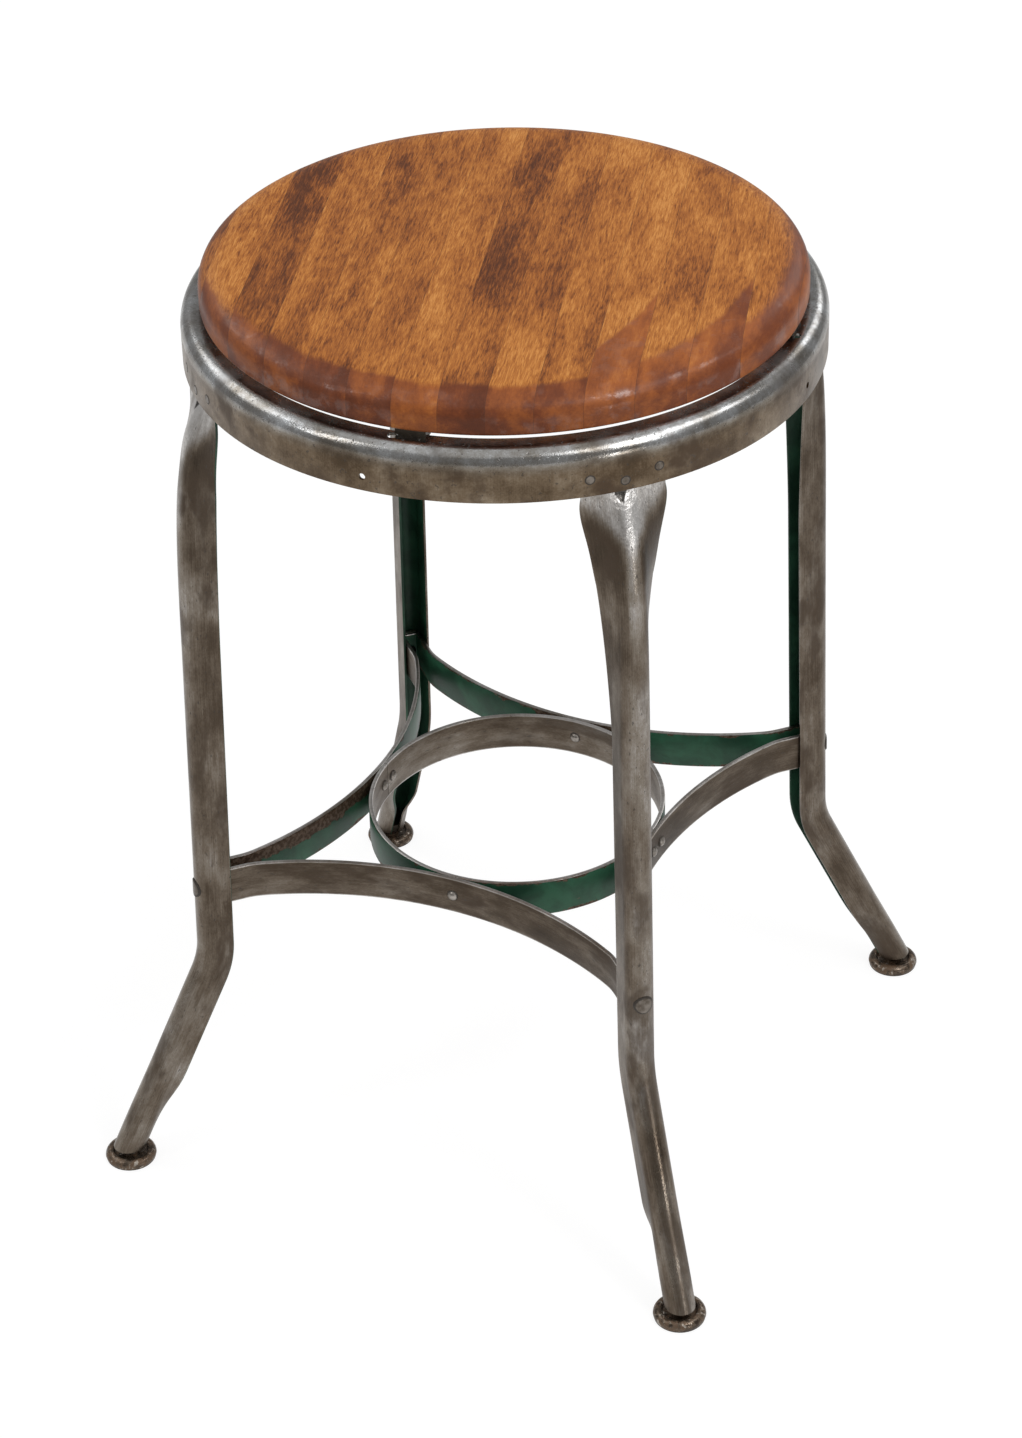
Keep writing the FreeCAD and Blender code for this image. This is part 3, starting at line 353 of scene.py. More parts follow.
def seat_wood():
    """Stained birch. Each stave has its own tone, taken stain in blotches, short dark flecks
    and pores along the grain. The turned edge is darker, with a wavy wiped border."""
    finish, place = new_finish("stained_hardwood")
    board = place.stretched(1, 1, 1, math.radians(-stave_turn))
    across, along = board.part("X"), board.part("Y")
    reach = place.stretched(1, 1, 0).length()
    count = (across - first_seam * mm) / (stave_width * mm)
    number = count.maths("FLOOR")

    def per_stave(values):
        """Each stave's own value, as a scale with one step for each."""
        steps = [((k + 0.02) / stave_count, (value,) * 3) for k, value in enumerate(values)]
        return ((number + 1.5) / stave_count).ramp(*steps, steps="CONSTANT")

    shift = number.node("CombineXYZ", {}, {0: number * 0.37, 1: number * 1.93, 2: number * 0.71})
    own = board.node("VectorMath", {"operation": "ADD"}, {0: board, 1: shift})
    blotch = own.stretched(1, 0.30, 1).cloud(44, 5.0, 0.62)
    stain = own.stretched(1, 0.40, 1).cloud(17, 3.0, 0.55)
    fibre = own.stretched(1, 0.09, 1).cloud(760, 4.0, 0.75, 0.2)
    fleck = own.stretched(1, 0.11, 1).cloud(1000, 3.0, 0.65, 0.2)
    pore = own.stretched(1, 0.07, 1).cloud(1700, 2.0, 0.6)

    dark = 0.0
    for stave, beside, along_at, wide, long, depth in dark_patches:
        middle = first_seam + stave_width * (stave - 0.5) + beside
        near = board.node("Mapping", {}, {
            "Vector": board, "Scale": (1 / (wide * mm), 1 / (long * mm), 1),
            "Location": (-middle / wide, -along_at / long, 0)})
        far = near.length() + blotch * 1.5 + fibre * 0.9
        ripple = (far * 46).maths("SINE") * 0.14 + 1.0
        dark = dark + (far.fade(2.45, 1.35) * ripple
                       * number.maths("COMPARE", stave - 1, 0.5) * depth)

    light = (per_stave(top_tones) * 0.60 + blotch.fade(0.36, 0.62) * 0.28
             + stain.fade(0.38, 0.60) * 0.18 + fibre.fade(0.34, 0.64) * 0.30 - 0.12 - dark * 0.85
             - fleck.fade(0.53, 0.64) * 0.20 + (pore - 0.5) * 0.9)
    wood = light.ramp((0.0, (0.080, 0.022, 0.006)), (0.25, (0.170, 0.048, 0.010)),
                      (0.5, (0.315, 0.100, 0.018)), (0.75, (0.450, 0.165, 0.032)),
                      (1.0, (0.590, 0.255, 0.064)))

    wipe = ((per_stave(wipes) * 0.1 - 0.01) * ((count - number) * 0.7 + 0.65)
            * along.fade(0.02, -0.05))
    facing = (place.part("X") * front_x + place.part("Y") * front_y) / (reach + 0.001)
    wave = place.cloud(20, 3.0, 0.6) * 0.012 + own.stretched(1, 0.5, 1).cloud(90) * 0.004
    border = (reach + wave + wipe + facing.fade(-0.25, 0.35) * 0.0115).fade(0.1810, 0.1870)
    glint = place.cloud(60, 4.0, 0.65).fade(0.50, 0.60) * border * facing.fade(0.2, 0.8)
    edge = (blotch.fade(0.35, 0.7) * 0.5 + per_stave(edge_tones) * 0.55
            + (fibre - 0.5) * 0.4).ramp(
        (0.0, (0.066, 0.016, 0.006)), (0.4, (0.158, 0.039, 0.011)),
        (0.75, (0.310, 0.088, 0.018)), (1.0, (0.480, 0.170, 0.034)))
    seam = (count - number - 0.5).maths("ABSOLUTE").fade(0.491, 0.497)
    colour = colour_mix(seam * 0.45, colour_mix(border, wood, edge), (0.05, 0.018, 0.008))
    surface(colour, blotch * 0.16 + 0.34 + border * 0.06 - glint * 0.18,
            fibre * 0.6 + pore * 0.6 + blotch * 0.8 + glint * 0.6 - seam * 1.2, 0.20, 0.0006,
            {"Specular IOR Level": 0.22, "Coat Weight": border * 0.10 + glint * 0.50,
             "Coat Roughness": 0.18})
    return finish


hardwood = seat_wood()
seams = ([-seat_radius] + [first_seam + stave_width * k for k in range(stave_count - 1)]
         + [seat_radius])
for index, (left, right) in enumerate(zip(seams, seams[1:])):
    skin = stave_points(left, right)
    first_end, last_end = end_faces(*skin.shape[:2])
    faces = grid_faces(*skin.shape[:2], round_columns=True).tolist()
    if index > 0:
        faces.append(first_end)
    if index < stave_count - 1:
        faces.append(last_end)
    stave = new_piece(f"stave_{index + 1:02d}", skin, faces, [hardwood])
    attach(stave, "frame")
    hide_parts(f"seat_board_{index + 1:02d}")


# Seat ring: one pressed ring of bare steel sheet, with an upright apron, a rounded shoulder and
# a narrow flange. It was stripped and brushed, and keeps brown stains and bright rubbed places.
# Its shoulder is painted lighter and cooler as a highlight, partly as rubbed metal.

ring_outer, ring_top, ring_bottom, ring_sheet = 192.0, 579.3, 547.55, 1.6
shoulder_round, flange_edge = 9.5, 174.2
flange_hole_circle, flange_hole_turn, flange_hole_radius = 179.7, 4.4, 3.0
apron_hole_circle, apron_hole_height, apron_hole_radius, drill_depth = 191.0, 556.55, 2.0, 8.0


def arc(start, finish, radius, turn, count=10):
    """Points of the short arc between two points, turning left for +1 and right for -1."""
    start, finish = np.array(start, float), np.array(finish, float)
    chord = finish - start
    half = np.linalg.norm(chord) / 2
    rise = math.sqrt(max(radius**2 - half**2, 0))
    left = np.array([-chord[1], chord[0]]) / (2 * half)
    middle = (start + finish) / 2 + left * rise * turn
    first = math.atan2(*(start - middle)[::-1])
    sweep = 2 * math.asin(min(half / radius, 1.0)) * turn
    angle = first + sweep * np.linspace(0, 1, count + 1)
    return middle + radius * np.stack([np.cos(angle), np.sin(angle)], axis=1)


def outline(corners, rounds, trim=0.0):
    """A closed outline through corners, with the arcs that rounds names by corner. A trim cuts
    every plain corner by that much, with a small round in its place."""
    runs = []
    for i, corner in enumerate(corners):
        following = corners[(i + 1) % len(corners)]
        if i in rounds:
            runs.append(arc(corner, following, *rounds[i]))
        else:
            runs.append(np.array([corner, following], float))
    points = []
    for i, run in enumerate(runs):
        before = runs[i - 1]
        coming, going = before[-1] - before[-2], run[1] - run[0]
        bent = abs(coming[0] * going[1] - coming[1] * going[0])
        sharp = bent > 0.3 * np.linalg.norm(coming) * np.linalg.norm(going)
        if trim and sharp:
            a = run[0] - coming / np.linalg.norm(coming) * trim
            b = run[0] + going / np.linalg.norm(going) * trim
            points += [a, (a + b) / 4 + run[0] / 2, b]
        else:
            points.append(run[0])
        points += list(run[1:-1])
    return np.array(points)


def spun(profile, count, middle=(0.0, 0.0)):
    """A profile of distances and heights, spun about an upright axis through a middle."""
    turn = np.linspace(0, 2 * np.pi, count, endpoint=False)[:, None]
    reach, height = profile[None, :, 0], profile[None, :, 1]
    return np.stack([reach * np.cos(turn) + middle[0], reach * np.sin(turn) + middle[1],
                     np.broadcast_to(height, (count, len(profile)))], axis=-1)


def old_steel(place, lines, worn, light, brown, lined, polish=0.0, hammered_and_highlit=0.0, blows=None,
              painted_recess_shade=None, tint=None):
    """Coats a finish with old bare sheet steel: grey metal, a brown film in clouds, darker
    stains, pits, bright rubbed patches, worn places, and fine brushing along its lines. Worn
    places lighten the metal, and callers use them partly for painted highlight. A hammered mark
    lightens it further as painted highlight, roughens it and keeps the brown film off; blows add
    a coarser relief under the fine one. A recess mark darkens it as painted shade, and a tint
    changes its colour."""
    film, stain = place.cloud(17, 3.0, 0.55), place.cloud(34, 4.0, 0.58)
    rubbed, grain = place.cloud(48, 5.0, 0.62), place.cloud(900, 2.0, 0.6)
    pits = place.cloud(420, 2.0, 0.5).fade(0.655, 0.70)
    brushed = lines.cloud(1.0, 3.0, 0.6)
    lined_here = lined * (1.0 - worn * 2.0)
    # Worn places and the hammered mark lighten the metal; on the ring's shoulder and the legs this
    # is partly painted highlight.
    tone = (film * 0.62 + rubbed * 0.85 + (brushed - 0.5) * lined_here + grain * 0.20 + worn
            + (light - 0.835) + hammered_and_highlit * 0.40)
    bare = tone.ramp((0.0, (0.028, 0.021, 0.015)), (0.35, (0.082, 0.062, 0.045)),
                     (0.5, (0.140, 0.112, 0.086)), (0.65, (0.220, 0.190, 0.158)),
                     (0.82, (0.380, 0.355, 0.330)), (1.0, (0.640, 0.620, 0.600)))
    browned = stain.fade(0.48, 0.64) * brown * (1.0 - worn * 1.5) * (1.0 - hammered_and_highlit * 0.8)
    colour = colour_mix(browned, bare, (0.064, 0.043, 0.027))
    colour = colour_mix(pits * 0.6, colour, (0.035, 0.027, 0.020))
    # Painted shade, darkening recesses such as the legs' dent.
    if painted_recess_shade is not None:
        colour = colour_mix(painted_recess_shade, colour, (0.022, 0.018, 0.014))
    if tint is not None:
        colour = tint.node("VectorMath", {"operation": "MULTIPLY"}, {0: colour, 1: tint})
    roughness = (film * 0.12 + (0.40 - polish) + browned * 0.12 - rubbed * 0.10
                 - worn.fade(0.0, 0.10) * 0.10 + hammered_and_highlit * 0.10)
    surface(colour, roughness, brushed * lined_here + grain * 0.6 + rubbed * 0.6 - pits * 0.8,
            0.30, 0.0004, {"Metallic": 1.0 - browned * 0.35 - pits * 0.4}, blows)


def ring_finish():
    """Brushed round the ring, with a warmer apron. The shoulder is lighter and cooler,
    partly rubbed and partly painted highlight.
    """
    finish, place = new_finish("brushed_ring_steel")
    x, y, z = (place.part(axis) for axis in "XYZ")
    lines = place.node("CombineXYZ", {}, {0: y.maths("ARCTAN2", x) * 300, 1: z * 40})
    # The shoulder is lighter, partly rubbed metal and partly painted highlight, and tinted cooler
    # so that highlight stays neutral; the apron is tinted warmer.
    tint = colour_mix(z.fade(0.574, 0.562), (0.94, 1.00, 1.06), (1.10, 1.00, 0.85))
    old_steel(place, lines, z.fade(0.566, 0.5745) * 0.30, 0.50, 0.95, 0.14, 0.08, tint=tint)
    return finish


def drilled(piece, holes):
    """Cuts round holes through a piece. Each is a place, a direction and a radius."""
    for place, direction, radius in holes:
        work = bmesh.new()
        bmesh.ops.create_cone(work, cap_ends=True, segments=32, radius1=radius * mm,
                              radius2=radius * mm, depth=drill_depth * mm)
        facing = Vector(direction).to_track_quat("Z", "Y").to_matrix().to_4x4()
        facing.translation = Vector(place) * mm
        work.transform(facing)
        mesh = bpy.data.meshes.new("drill")
        work.to_mesh(mesh)
        work.free()
        drill = added("drill", mesh)
        cut = piece.modifiers.new("hole", "BOOLEAN")
        cut.object, cut.operation, cut.solver = drill, "DIFFERENCE", "EXACT"
        shaped = bpy.data.meshes.new_from_object(
            piece.evaluated_get(bpy.context.evaluated_depsgraph_get()))
        piece.modifiers.clear()
        piece.data = shaped
        bpy.data.objects.remove(drill)
    piece.data.set_sharp_from_angle(angle=math.radians(38))


ring_profile = outline(
    [(ring_outer, ring_bottom), (ring_outer, ring_top - shoulder_round),
     (ring_outer - shoulder_round, ring_top), (flange_edge, ring_top),
     (flange_edge, ring_top - ring_sheet), (ring_outer - shoulder_round, ring_top - ring_sheet),
     (ring_outer - ring_sheet, ring_top - shoulder_round), (ring_outer - ring_sheet, ring_bottom)],
    {1: (shoulder_round, 1, 16), 5: (shoulder_round - ring_sheet, -1, 12)}, trim=0.4)
skin = spun(ring_profile, 360)
ring = new_piece("pressed_seat_ring", skin, grid_faces(*skin.shape[:2], True, True),
                 [ring_finish()])
hole_list = []
for quarter in range(4):
    heading = 90 * quarter
    on_flange = turned_about(np.array([flange_hole_circle, 0, ring_top]),
                             heading + flange_hole_turn)
    on_apron = turned_about(np.array([apron_hole_circle, 0, apron_hole_height]), heading)
    hole_list.append((on_flange, (0, 0, 1), flange_hole_radius))
    hole_list.append((on_apron, turned_about(np.array([1, 0, 0]), heading), apron_hole_radius))
drilled(ring, hole_list)
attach(ring, "frame")
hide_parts("seat_ring")


# Legs: each one strip of steel sheet folded to a channel that opens to the middle. It flattens
# to a tab inside the apron, bends outwards at the knee and closes to a round at the foot. The
# outside was stripped to brown mottled metal, the inside keeps its dark green enamel.

leg_sheet, leg_strip, leg_bend = 1.6, 51.0, 8.4
leg_headings = {"front": -45, "right": 45, "back": 135, "left": 225}
upper_lean, shank_lean, knee_height, knee_radius = 1.47, 25.4, 147.0, 60.0
channel_top, leg_end, foot_circle = 382.0, 9.5, 274.6
tab_opening, tab_top, tab_end, snug = 86.0, ring_top - 11.0, ring_bottom - 2.5, 0.05
fold_flare, fold_swell, shank_out = 3.2, 4.0, 0.2
closing_length, round_length, round_opening, round_bend = 52.0, 15.0, -58.0, leg_bend + 0.5
dent_low, dent_beside, dent_spread, dent_rise, dent_deep = 538.5, -2.4, 1.7, 3.0, 0.7


def strip_section(bend, opening, extra):
    """Flange length, and how far out the tips lie from the bend's centre."""
    tilt = np.radians(opening)
    flange = (leg_strip + extra - bend * (np.pi - 2 * tilt)) / 2
    return flange, bend * np.sin(tilt) - flange * np.cos(tilt)


def shank_line(height):
    """How far out the shank's bend centre is at a height."""
    return foot_circle + shank_out - (height - leg_end) * math.tan(math.radians(shank_lean))


def upper_line(height):
    """How far out the upper leg's bend centre is at a height."""
    return shank_line(knee_height) - (height - knee_height) * math.tan(math.radians(upper_lean))


def stations(across, height, lean=0.0, bend=leg_bend, opening=0.0, extra=0.0):
    """Rows of how far out, height, lean, bend radius, opening and extra width."""
    return np.stack(np.broadcast_arrays(across, height, lean, bend, opening, extra), axis=1)


def leg_stations():
    """Stations from the tab's top down: tab, the stretch that folds shut, channel, knee arc,
    shank, the stretch that closes round, and the round foot."""
    tab_across = ring_outer - ring_sheet - snug - leg_sheet / 2 - leg_bend
    rows = [stations(tab_across, np.linspace(tab_top, tab_end, 6), opening=tab_opening)]

    # near the fold's top its flanges grow wider and its bend slacker, each up to its peak and
    # back, and its tips run straight down
    share = 1 - np.linspace(0, 1, 110)[1:]**1.25
    opening = tab_opening * (0.62 * share**1.25 + 0.38 * share**5)
    wing = np.maximum(0, (share - 0.7) / 0.3)
    extra = fold_flare * 256 / 27 * wing**3 * (1 - wing)
    soft = np.clip((share - 0.65) / 0.35, 0, 1)
    bend = leg_bend + fold_swell * 4 * soft * (1 - soft)
    tip = (strip_section(leg_bend, opening, extra)[1] + strip_section(bend, opening, extra)[1]
           + bend - leg_bend) / 2
    height = channel_top + (tab_end - channel_top) * share
    low_tip = upper_line(channel_top) + strip_section(leg_bend, 0, 0)[1]
    high_tip = tab_across + strip_section(leg_bend, tab_opening, 0)[1]
    across = low_tip + (high_tip - low_tip) * share - tip
    rows.append(stations(across, height, upper_lean * (1 - share), bend, opening, extra))

    reach = knee_radius * math.tan(math.radians((shank_lean - upper_lean) / 2))
    knee_top = knee_height + reach * math.cos(math.radians(upper_lean))
    height = np.linspace(channel_top, knee_top, 32)[1:]
    rows.append(stations(upper_line(height), height, upper_lean))

    lean = np.linspace(upper_lean, shank_lean, 20)[1:]
    level, slant = math.radians(upper_lean), np.radians(lean)
    rows.append(stations(
        upper_line(knee_top) + knee_radius * (math.cos(level) - np.cos(slant)),
        knee_top + knee_radius * (math.sin(level) - np.sin(slant)), lean))

    slope = math.cos(math.radians(shank_lean))
    round_top = leg_end + round_length * slope
    closing_top = round_top + closing_length * slope
    height = np.linspace(rows[-1][-1, 1], closing_top, 10)[1:]
    rows.append(stations(shank_line(height), height, shank_lean))
    share = np.linspace(0, 1, 24)[1:]
    ease = share * share * (3 - 2 * share)
    height = closing_top + (round_top - closing_top) * share
    rows.append(stations(shank_line(height), height, shank_lean,
                         leg_bend + (round_bend - leg_bend) * ease, round_opening * ease))
    height = np.linspace(round_top, leg_end, 5)[1:]
    rows.append(stations(shank_line(height), height, shank_lean, round_bend, round_opening))
    return np.concatenate(rows)


def leg_skin(rows, soft=0.4, hair=0.12):
    """The channel's outline at each station. A point is a distance along the strip's section
    and an offset from its middle: round the bend first, then straight out on a flange. The
    outline runs over the outer face, round a softened tip, back inside and round the other."""
    across, height, lean, bend, opening, extra = (rows[:, i:i + 1] for i in range(6))
    tilt, slant = np.radians(opening), np.radians(lean)
    flange, _ = strip_section(bend, opening, extra)
    round_half, half = bend * (np.pi / 2 - tilt), leg_sheet / 2

    out = round_half + np.linspace(1, 0, 22)[:-1] * (flange - soft)
    face = np.concatenate([out, round_half * np.linspace(1, -1, 29), -out[:, ::-1]], axis=1)
    tip = round_half + flange - np.array([hair, 0, 0, hair])
    strip = np.concatenate([face, -tip, face[:, ::-1], tip], axis=1)
    outer = np.full(face.shape[1], half)
    edge = np.array([half - hair, half - soft, soft - half, hair - half])
    offset = np.concatenate([outer, edge, -outer, edge[::-1]])

    straight = np.maximum(np.abs(strip) - round_half, 0)
    swing = np.clip(strip, -round_half, round_half) / bend
    depth = (bend + offset) * np.cos(swing) - straight * np.cos(tilt)
    width = (bend + offset) * np.sin(swing) + np.sign(strip) * straight * np.sin(tilt)
    x, z = across + depth * np.cos(slant), height + depth * np.sin(slant)
    step = np.hypot(np.diff(rows[:, 0]), np.diff(rows[:, 1]))
    run = np.broadcast_to(np.concatenate([[0], np.cumsum(step)])[:, None], x.shape)

    # a V-shaped dent under the apron, pressed in on the outside of the fold
    dent = np.clip((z - dent_low - dent_spread * np.abs(width - dent_beside)) / dent_rise, 0, 1)
    x = x - dent_deep * dent**2 * (z < tab_end + 3)

    x[-1] += (z[-1] - leg_end) * math.tan(math.radians(shank_lean))
    z[-1] = leg_end
    return np.stack([x, width, z], axis=-1), strip, run, dent, len(outer) + len(edge)


def strip_patterns(place, seed):
    """From the stored distances across and along a strip: how far beside its middle a point
    is, and the places where its clouds and its brushing are drawn."""
    across, along = place.stored("across"), place.stored("along")
    drawn = place.node("CombineXYZ", {}, {0: across * 1.5, 1: along * 0.55, 2: seed})
    lines = place.node("CombineXYZ", {}, {0: across * 1500, 1: along * 28, 2: seed})
    return across.maths("ABSOLUTE"), drawn, lines


def leg_finish():
    """Rubbed on the edges, and lighter along the ridge, partly rubbed and partly painted
    highlight. The fold's top is hammered and painted lighter as a highlight, with a painted
    highlight as a bright V down its ridge between flanks darkened as a painted dark reflection,
    and painted shade in its dent."""
    finish, place = new_finish("brown_leg_steel")
    beside, drawn, lines = strip_patterns(place, 3.1)
    height = place.part("Z")
    # The fold's hammered top, where the metal is also painted lighter as a highlight.
    hammered_and_highlit = (height - beside * 1.15).fade(0.498, 0.522)
    flared = height.fade(0.42, 0.49)
    # Lighter along the ridge, partly rubbed and partly painted highlight; rubbed along the strip's
    # edges; a painted highlight as a V down the flared ridge; and the flanks beside it darkened as
    # a painted dark reflection.
    painted_dark_flanks = (beside.fade(0.015, 0.009) + height.fade(0.485, 0.515)).fade(0.0, 1.0)
    worn = (beside.fade(0.0115, 0.002) * 0.10 + beside.fade(0.0242, 0.0251) * 0.08
            + beside.fade(0.0055, 0.0015) * flared * 0.12
            - beside.fade(0.003, 0.007) * painted_dark_flanks * flared * (1.0 - hammered_and_highlit) * 0.20)
    blows = place.node("Bump", {}, {"Strength": 0.60, "Distance": 0.0007,
                                    "Height": place.cloud(420, 2.0, 0.5) * hammered_and_highlit})
    # The dent's stored depth darkens it as painted shade.
    old_steel(drawn, lines, worn, 0.49, 0.85, 0.30, 0.06, hammered_and_highlit, blows,
              place.stored("dent").fade(0.1, 0.6) * 0.9)
    return finish


def green_enamel(name, shade, chips, scuffed=0.0):
    """Old dark green stoving enamel, rubbed dull in clouds and chipped to rust in places. The
    upper half of two braces, at the left and at the back, is scuffed down to the steel. A shade
    below 1 darkens the green as painted shade, for the insides of the leg channels."""
    finish, place = new_finish(name)
    cloud, fine = place.cloud(34, 4.0, 0.6, 0.4), place.cloud(420, 3.0, 0.6)
    across, x, y = place.stored("across"), place.part("X"), place.part("Y")
    edge = across.maths("ABSOLUTE").fade(0.0080, 0.0127) * chips
    at_left = x.fade(-0.05, -0.07) * y.fade(0.01, -0.02)
    at_back = y.fade(0.05, 0.07) * (x - 0.006).maths("ABSOLUTE").fade(0.045, 0.028)
    outside_hoop = (x * x + y * y).fade(0.00915, 0.00925)
    scuff = (at_left + at_back) * outside_hoop * across.fade(-0.002, 0.008) * scuffed
    worn = (place.cloud(85, 5.0, 0.65, 0.5) + edge * 2.0
            + scuff).fade(0.80 - chips, 0.86 - chips)
    dark, clear = (tuple(part * shade for part in green)
                   for green in ((0.013, 0.052, 0.029), (0.030, 0.118, 0.064)))
    rust = colour_mix(fine.fade(0.4, 0.62), (0.060, 0.034, 0.020), (0.150, 0.105, 0.075))
    colour = colour_mix(worn, colour_mix(cloud.fade(0.35, 0.68), dark, clear), rust)
    surface(colour, cloud * 0.18 + 0.34 + worn * 0.15, fine * 0.5 - worn * 1.5, 0.3, 0.0003,
            {"Metallic": worn * 0.4, "Specular IOR Level": 0.3})
    return finish


# The channels' insides take a darker copy of the enamel: painted shade.
leg_finishes = [leg_finish(), green_enamel("shaded_green_enamel_inside", 0.65, -0.06)]
points, strip, run, dent, outer_count = leg_skin(leg_stations())
leg_faces = grid_faces(*points.shape[:2], round_columns=True)
leg_slots = (np.arange(len(leg_faces)) % points.shape[1] >= outer_count).astype(int).tolist()
for index, (name, heading) in enumerate(leg_headings.items()):
    leg = new_piece(f"channel_leg_{name}", turned_about(points, heading),
                    leg_faces.tolist() + end_faces(*points.shape[:2]), leg_finishes,
                    leg_slots + [0, 0],
                    {"across": strip * mm, "along": run * mm + index, "dent": dent})
    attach(leg, "frame")
    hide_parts(f"leg_{name}")


# Braces: four flat strips from leg to leg, each bent in a long curve towards the middle. Their
# ends turn into tabs that lap inside the leg channels. Outer faces bare, inner faces enamelled.

strip_thick, strip_low, strip_high = 2.6, 189.3, 214.7
strip_middle, strip_half = (strip_low + strip_high) / 2, (strip_high - strip_low) / 2
hoop_inner, hoop_outer = 92.9, 95.5
tab_bend, tab_gap, lap_gap, outer_reach, inner_reach = 0.8, 2.4, 0.1, 5.0, 3.6
curve_turn, end_radius = math.radians(30.0), 40.0
root = math.sqrt(0.5)
brace_middle = hoop_outer + strip_thick / 2
tab_offset = leg_bend - leg_sheet / 2 - tab_bend - strip_thick / 2
both = math.cos(curve_turn) + math.sin(curve_turn)
long_radius = (brace_middle - tab_offset / root - end_radius * (1 / root - both)) / (both - 1)
inner_apex = upper_line(strip_middle) + leg_bend - leg_sheet / 2


def brace_path():
    """The strip's middle line: from the tab in one leg, a small bend, a run, an end curve, the
    long curve, and the same on the other hand, where the tab lies further in."""
    outer_tab = inner_apex - tab_gap - strip_thick / 2
    inner_tab = outer_tab - strip_thick - lap_gap
    bend = tab_bend + strip_thick / 2

    def end_run(tab_line, reach, hand):
        """From the long curve's end out to the tab's tip."""
        angle = np.linspace(curve_turn, math.pi / 4, 9)
        x = (brace_middle + long_radius * (1 - math.cos(curve_turn))
             + end_radius * (math.cos(curve_turn) - np.cos(angle)))
        y = (long_radius * math.sin(curve_turn)
             + end_radius * (np.sin(angle) - math.sin(curve_turn)))
        swing = np.linspace(0, math.pi / 2, 8)
        distance = np.append(tab_line - bend + bend * np.sin(swing), tab_line)
        beside = np.append(tab_offset - bend + bend * np.cos(swing), -reach)
        x = np.concatenate([x, root * (distance + beside)])
        y = np.concatenate([y, root * (distance - beside)])
        return np.stack([x, hand * y], axis=1)

    angle = np.linspace(-curve_turn, curve_turn, 61)[1:-1]
    curve = np.stack([brace_middle + long_radius * (1 - np.cos(angle)),
                      long_radius * np.sin(angle)], axis=1)
    return np.concatenate([end_run(outer_tab, outer_reach, -1)[::-1], curve,
                           end_run(inner_tab, inner_reach, 1)])


def strip_skin(path, trim=0.45):
    """A flat strip on edge along a path: at each point a rounded oblong across the path. Its
    second half mirrors the first. Also each point's height on the strip and its run."""
    step = np.gradient(path, axis=0)
    step /= np.linalg.norm(step, axis=1, keepdims=True)
    half, high, soft = strip_thick / 2, strip_half, trim * 0.3
    wide = np.array([half, half, half, half - soft, half - trim, trim - half, soft - half])
    tall = np.array([trim - high, 0, high - trim, high - soft, high, high, high - soft])
    wide, tall = np.concatenate([wide, -wide])[None, :], np.concatenate([tall, -tall])[None, :]
    x, y = path[:, :1] + step[:, 1:] * wide, path[:, 1:] - step[:, :1] * wide
    tall = np.broadcast_to(tall, x.shape)
    run = np.concatenate([[0], np.cumsum(np.linalg.norm(np.diff(path, axis=0), axis=1))])
    return np.stack([x, y, strip_middle + tall], axis=-1), tall, run[:, None] + 0 * tall


def strip_piece(name, node, path, heading, green_columns, bare):
    """A strip with bare steel on one face and enamel on the other, closed at its ends."""
    skin, tall, run = strip_skin(path)
    rows, columns = skin.shape[:2]
    faces = grid_faces(rows, columns, round_columns=True)
    green = np.isin(np.arange(len(faces)) % columns, green_columns)
    piece = new_piece(name, turned_about(skin, heading),
                      faces.tolist() + end_faces(rows, columns), [bare, strip_enamel],
                      green.astype(int).tolist() + [0, 0],
                      {"across": tall * mm, "along": run * mm + heading / 90})
    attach(piece, "frame")
    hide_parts(node)


def strip_finish(name, seed, light, brown, lined, edge_shine):
    """Rubbed bright along both edges of the strip."""
    finish, place = new_finish(name)
    beside, drawn, lines = strip_patterns(place, seed)
    edge = beside.fade(strip_half * mm - 0.0013, strip_half * mm - 0.0004)
    old_steel(drawn, lines, edge * edge_shine, light, brown, lined)
    return finish


strip_enamel = green_enamel("green_enamel", 1.0, 0.12, 0.45)
strip_outside = strip_finish("brown_strip_steel", 7.7, 0.42, 0.90, 0.22, 0.42)
for quarter, name in enumerate(("front_right", "back_right", "back_left", "front_left")):
    strip_piece(f"curved_brace_{name}", f"brace_{name}", brace_path(), 90.0 * quarter, (7, 8),
                strip_outside)


# Foot ring: two half hoops of the same strip that butt under the paired rivets, bare inside
# where shoes rubbed them, enamelled outside.

def half_hoop_path():
    """Half a circle, less a hair at each butt."""
    gap = 0.25 / hoop_outer
    angle = np.linspace(gap, math.pi - gap, 121)
    middle = (hoop_inner + hoop_outer) / 2
    return np.stack([middle * np.cos(angle), middle * np.sin(angle)], axis=1)


hoop_inside = strip_finish("rubbed_hoop_steel", 5.3, 0.50, 0.65, 0.18, 0.40)
for heading, name in ((0, "back"), (180, "front")):
    strip_piece(f"half_hoop_{name}", f"ring_half_{name}", half_hoop_path(), heading, (0, 1),
                hoop_inside)


# Rivets: flush ones through the apron and the leg tabs, one broad hammered one in each leg, and
# domed ones through the foot ring. Their heads are rubbed brighter than the sheet round them.

flush_height, flush_rise, flush_spread, flush_head = 6.5, 4.2, 6.2, 2.75
leg_head, leg_head_rise, ring_head, pair_half = 6.1, 0.9, 3.7, 6.3


